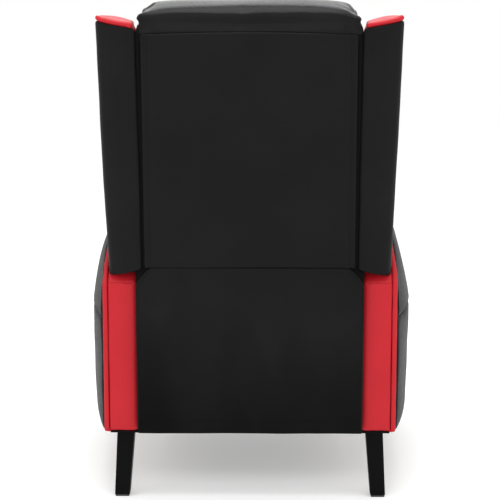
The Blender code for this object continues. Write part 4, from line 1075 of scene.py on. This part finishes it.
def make_wing_cover(side, sign):
    """Black cover on a wing's rear and outer sides, sewn to the pad along its edges."""
    around = slice(WING_WRAP, WING_SEAM + 1)
    swell = wing_bulge(WING_WRAP, WING_SEAM, 0.0022)
    shares = linspace(0, 1, WING_SEAM + 1 - WING_WRAP)
    edge = 0.0012 - round_off(np.minimum(shares, 1 - shares) * 0.165, 0.004) * 0.6
    tall = 0.49                 # from the cover's foot to its top
    rings = []
    for level in (0.0, 0.004, 0.01, 0.02, 0.035, *linspace(0.055, 0.95, 52), 0.968, 0.98, 0.988,
                  0.994, 0.998, 1.0):
        roll = round_off(level * tall, 0.0035) * 0.6 + round_off((1 - level) * tall, 0.0055) * 0.7
        skin = swell.copy()
        skin[around] += edge - roll
        lining = np.minimum(skin - 0.0005, swell - 0.0036)
        lift = -0.0016 * math.exp(-((1 - level) / 0.02) ** 2)
        outside, inside = (wing_ring(sign, level, 1.0, lift, offset)[around]
                           for offset in (skin, lining))
        rings.append(outside + inside[::-1])
    piece = loft(f"wing_cover_panel_{side}", rings, BLACK)
    crumple(piece, (0.09, 0.09, 0.24), 0.0022, 71 + 2 * sign)
    crumple(piece, (0.03, 0.03, 0.05), 0.0005, 73 + 2 * sign)
    front = [wing_ring(sign, rise, 1.0, 0, swell + 0.0004)[WING_SEAM]
             for rise in linspace(0.01, 0.99, 60)]
    settle(tube(f"wing_welt_{side}", resample(front, 0.008), 0.0026, BLACK, 8), "backrest")
    # sleeve over the upright in the gap beside the wing; partly lining, partly painted shade
    outline = ((0.213, 0.0286), (0.2202, 0.0286), (0.2202, 0.0886), (0.2085, 0.0886),
               (0.2085, 0.088), (0.2199, 0.0877), (0.2199, 0.0296), (0.213, 0.0296))
    rings = [[(sign * x, y, z) for x, y in outline] for z in linspace(0.004, COVER_TOP, 40)]
    settle(loft(f"back_side_lining_{side}", rings, LINING_PAINTED_SHADE), "backrest")
    settle(piece, "backrest", f"wing_cover_{side}")


# Skirt below the backrest

SKIRT_HALF = 0.2325
SKIRT_TOP = 0.4905
SKIRT_CORNER = 0.039            # how far below its top the corners begin to round off


def skirt_rear(z):
    """Where the skirt's outer surface lies at a height."""
    lean = math.tan(BACK_LEAN)
    top = HINGE.y + (SKIRT_TOP - HINGE.z) * lean + (COVER_FRONT + COVER_THICK) / math.cos(BACK_LEAN)
    return mix(0.297, top, np.clip((z - ARM_BOTTOM) / (SKIRT_TOP - ARM_BOTTOM), 0, 1))


def skirt_half(z):
    """Half the skirt's width at a height."""
    past = np.clip((z - SKIRT_TOP + SKIRT_CORNER) / SKIRT_CORNER, 0, 1)
    return SKIRT_HALF - 0.03 * past ** 1.45


# Folds of the skirt: the two ends (x, z), half the width, and the height
SKIRT_FOLDS = (
    ((0.16, 0.466), (0.186, 0.285), 0.011, 0.003),
    ((0.205, 0.44), (0.208, 0.33), 0.009, -0.0022),
    ((0.128, 0.44), (0.14, 0.35), 0.013, -0.0016),
    ((-0.05, 0.332), (-0.086, 0.392), 0.006, 0.0013),
    ((-0.103, 0.424), (-0.109, 0.368), 0.014, -0.002),
    ((0.034, 0.268), (-0.17, 0.27), 0.007, 0.0009),
    ((0.178, 0.489), (0.172, 0.462), 0.004, 0.0014),
    ((0.148, 0.489), (0.146, 0.458), 0.004, 0.0012),
    ((-0.132, 0.489), (-0.14, 0.452), 0.006, 0.001),
    ((-0.19, 0.44), (-0.2, 0.21), 0.016, 0.0024),
    ((0.19, 0.24), (0.06, 0.2), 0.03, -0.004),
    ((0.06, 0.178), (-0.06, 0.176), 0.012, 0.0016))


def fold_height(x, z):
    """How far the skirt's folds lift a point."""
    height = 0.0
    for start, end, width, lift in SKIRT_FOLDS:
        run = np.subtract(end, start)
        share = np.clip(((x - start[0]) * run[0] + (z - start[1]) * run[1]) / (run @ run), 0, 1)
        away = np.hypot(x - start[0] - share * run[0], z - start[1] - share * run[1])
        height = height + lift * np.exp(-(away / width) ** 2)
    return height


def make_skirt():
    """Sheet from the rear panel's foot to the arms' underside, with a hem and corded sides."""
    thick, columns, rows = 0.0034, 110, 96
    shares = np.array([-1.0, -0.994, *linspace(-0.985, 0.985, columns), 0.994, 1.0])
    rings = []
    for z in (ARM_BOTTOM - 0.0005, *linspace(ARM_BOTTOM + 0.002, SKIRT_TOP, rows)):
        half, y = skirt_half(z), skirt_rear(z)
        ring = [(share * half, y - round_off((1 - abs(share)) * half, 0.003), z)
                for share in shares]
        rings.append(ring + [(share * half, y - thick, z) for share in reversed(shares)])
    piece = loft("rear_skirt_sheet", rings, SKIRT)
    points = read_points(piece.data)
    spread = 1 - (points[:, 0] / SKIRT_HALF) ** 4
    spread *= smooth_step((SKIRT_TOP - points[:, 2]) / 0.03)
    wave = np.array([noise.noise((x / 0.13, 4.2, (z + 0.5 * abs(x)) / 0.17)) for x, y, z in points])
    fine = np.array([noise.noise((x / 0.045, 8.1, (z - 0.8 * x) / 0.11)) for x, y, z in points])
    folds = fold_height(points[:, 0], points[:, 2])
    points[:, 1] += spread * (wave * 0.0034 + fine * 0.0013) + np.minimum(spread * 3, 1) * folds
    write_points(piece, points)
    hem_height = ARM_BOTTOM + 0.024
    hem = [(x, skirt_rear(hem_height), hem_height + 0.0008 * math.sin(x * 21))
           for x in linspace(-SKIRT_HALF + 0.006, SKIRT_HALF - 0.006, 50)]
    sides = [[(sign * (skirt_half(z) - 0.0062), skirt_rear(z), z)
              for z in linspace(ARM_BOTTOM + 0.004, SKIRT_TOP - 0.001, 60)] for sign in (1, -1)]
    sew(piece, [hem, *sides], 0.0022, 0.002, 0.0008, 0.04, seed=15)
    threads = stitch("skirt_stitches", piece, [[(x, y, z + 0.004) for x, y, z in hem]], BLACK_THREAD,
                     radius=THIN_THREAD)
    cords = []
    for side, sign in SIDES:
        path = [(sign * (skirt_half(z) - 0.0012), skirt_rear(z) - 0.001, z)
                for z in linspace(ARM_BOTTOM + 0.001, SKIRT_TOP - 0.0015, 70)]
        cords.append(tube(f"skirt_cord_{side}", resample(path, LAID_STEP), 0.0021, BLACK, 8))
    for made in (piece, threads, *cords):
        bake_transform(made)
    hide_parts("rear_skirt")


# Seat and footrest

def make_seat():
    """Seat cushion, which fills the space between the arms, sewn in two channels and across."""
    low, high = 0.3496, 0.4596
    half, front, rear = ARM_INNER_FRONT, -0.41, 0.122

    def shape(x, y, z):
        across, up = x / half, (z - low) / (high - low)
        along = (y - front) / (rear - front) * 2 - 1
        drawn = 0.006 * np.sin(math.pi * np.clip(up, 0, 1)) * (1 - along ** 2)
        width = arm_inner(y) - 0.004 - drawn
        return across * width, y, z + up * pad_crown(0.014, across, along, 6)

    def limit(points):
        width = arm_inner(points[:, 1]) - 0.0015
        points[:, 0] = np.clip(points[:, 0], -width, width)
        points[:, 1:] = np.clip(points[:, 1:], (front - 0.006, low), (rear + 0.004, high + 0.03))
        return points

    piece = block("seat_cushion_cover", (-half, front, low), (half, rear, high), 0.03, 0.02, shape,
                  BLACK)
    puff(piece, 0.0066, 0.026, 0.012, limit, ramp(2, low + 0.004, -0.004))
    upper = ramp(2, low + 0.02, 0.03)
    crumple(piece, (0.1, 0.06, 0.3), 0.003, 81, upper)
    crumple(piece, (0.03, 0.03, 0.05), 0.0008, 82, upper)
    above, seam = 0.5, front + 0.078
    lines = [[(sign * CHANNEL, y, above) for y in linspace(seam, rear - 0.018, 40)]
             for sign in (1, -1)]
    lines.append([(x, seam, above) for x in linspace(-0.24, 0.24, 50)])
    settle(sew_channels("seat_stitches", piece, lines, 0.0095, 0.007, 0.0036, 0.028, 17), "base")
    settle(piece, "base", "seat_cushion")


def make_seat_front():
    """Leather stretched over the front rail of the seat frame, below the cushion."""
    face, under = -0.3452, 0.2998
    outside = [(-0.301, under - 0.0018), (face + 0.004, under - 0.002),
               (face + 0.0002, under - 0.0014), (face - 0.0014, under + 0.0004),
               (face - 0.0021, under + 0.004)]
    outside += [(face - 0.0021 - 0.0007 * math.sin(math.pi * share), mix(under + 0.006, 0.344, share))
                for share in linspace(0, 1, 12)]
    outside += [(face - 0.0016, 0.3468), (face - 0.0004, 0.3482)]
    inside = [(face, 0.3476), (face, under), (-0.301, under)]
    rings = [[(x, y, z) for y, z in outside + inside] for x in linspace(-0.2195, 0.2195, 120)]
    piece = loft("seat_front_cover", rings, BLACK)
    crumple(piece, (0.05, 0.1, 0.03), 0.001, 87, ramp(1, face - 0.0012, -0.0006))
    row = [(x, face - 0.003, 0.3405) for x in linspace(-0.215, 0.215, 60)]
    settle(stitch("seat_front_stitches", piece, [row], RED_THREAD), "base")
    settle(piece, "base")


def make_footrest():
    """Cushion in front of the footrest's board, with the same two channels."""
    low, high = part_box("footrest_cushion")

    def shape(x, y, z):
        across, up = x / high[0], (z - low[2]) / (high[2] - low[2]) * 2 - 1
        out = (high[1] - y) / (high[1] - low[1])
        drawn = 0.003 * (1 - up ** 2) * np.sin(math.pi * np.clip(out, 0, 1))
        return x - across * drawn, y + out * (0.004 - pad_crown(0.004, across, up)), z

    piece = block("footrest_cushion_cover", tuple(low), tuple(high), 0.014, 0.016, shape, BLACK)
    least, most = np.subtract(low, (0.002, 0.008, 0)), np.add(high, (0.002, 0, 0.002))
    puff(piece, 0.0056, 0.012, 0.005, lambda points: np.clip(points, least, most),
         ramp(1, high[1] - 0.004, 0.004))
    crumple(piece, (0.08, 0.2, 0.05), 0.002, 91)
    lines = [[(sign * CHANNEL, low[1] - 0.005, z)
              for z in linspace(low[2] + 0.012, high[2] - 0.01, 20)] for sign in (1, -1)]
    rows = sew_channels("footrest_stitches", piece, lines, 0.007, 0.0062, 0.0028, 0.026, 19)
    settle(rows, "footrest")
    settle(piece, "footrest", "footrest_cushion")


# Studio

def make_studio():
    """Pale glowing floor, white surroundings, soft lamps, and a camera at the photograph's angle."""
    floor_finish = Finish("studio_floor")
    dust = floor_finish.noise(floor_finish.place(), 3.0)
    pale = floor_finish.blend(dust, (0.76, 0.76, 0.76), (0.79, 0.79, 0.79))
    floor_finish.surface(Base_Color=pale, Roughness=0.9, Emission_Color=(1.0, 1.0, 1.0),
                         Emission_Strength=0.3)
    floor = add_piece("studio_floor", [(-9, -9, 0), (9, -9, 0), (9, 9, 0), (-9, 9, 0)],
                      [(0, 1, 2, 3)], floor_finish.material)
    world = bpy.data.worlds.new("studio")
    world.use_nodes = True
    sky = world.node_tree.nodes["Background"]
    sky.inputs["Color"].default_value = (1.0, 1.0, 1.0, 1.0)
    sky.inputs["Strength"].default_value = 1.0
    bpy.context.scene.world = world
    lamps = (("lamp_top", (0.0, 0.4, 3.2), (0, 0.2, 0.6), 1.8, 48),
             ("lamp_front", (0.0, -2.4, 2.3), (0, 0.3, 0.9), 1.8, 9),
             ("lamp_left", (2.6, 1.6, 1.5), (0, 0, 0.5), 1.8, 8),
             ("lamp_right", (-2.6, 1.6, 1.5), (0, 0, 0.5), 1.8, 5),
             ("lamp_rear", (0.3, 3.6, 2.4), (0, 0, 0.4), 1.6, 14))
    for name, place, aim, size, power in lamps:
        data = bpy.data.lights.new(name, "AREA")
        data.size = size
        data.energy = power
        lamp = bpy.data.objects.new(name, data)
        lamp.location = place
        lamp.rotation_euler = (Vector(aim) - Vector(place)).to_track_quat("-Z", "Y").to_euler()
        bpy.context.scene.collection.objects.link(lamp)
    data = bpy.data.cameras.new("camera")
    data.lens = 111.2
    data.sensor_width = 36.0
    camera = bpy.data.objects.new("camera", data)
    camera.location = (-0.04, 3.4, 1.03)
    camera.rotation_euler = (math.radians(90 - 9.2), 0, math.radians(180.73))
    bpy.context.scene.collection.objects.link(camera)
    bpy.context.scene.camera = camera
    bpy.context.scene.view_settings.view_transform = "Standard"


def dress_cad_nodes():
    """Give each CAD node that still shows the finish of its slot."""
    slots = {part["node"]: part["material_slot"] for part in frame["record"]["subparts"]}
    for name, node in frame["nodes"].items():
        finish = STAINED_TIMBER if name in STAINED else CAD_FINISHES.get(slots.get(name))
        if finish is not None:
            node.data.materials.clear()
            node.data.materials.append(finish)


make_studio()
dress_cad_nodes()
for side, sign in SIDES:
    make_outer_panel(side, sign)
    make_top_pad(side, sign)
    make_rear_band(side, sign)
    make_front_band(side, sign)
    make_inner_panel(side, sign)
    make_wing(side, sign)
    make_wing_cover(side, sign)
make_back_cover()
make_head_cushion()
make_back_cushion("lumbar_cushion", 0.02, 0.2, 0.02, 55)
make_back_cushion("upper_cushion", 0.2, 0.44, 0.016, 57)
make_skirt()
make_seat()
make_seat_front()
make_footrest()

bpy.context.view_layer.update()
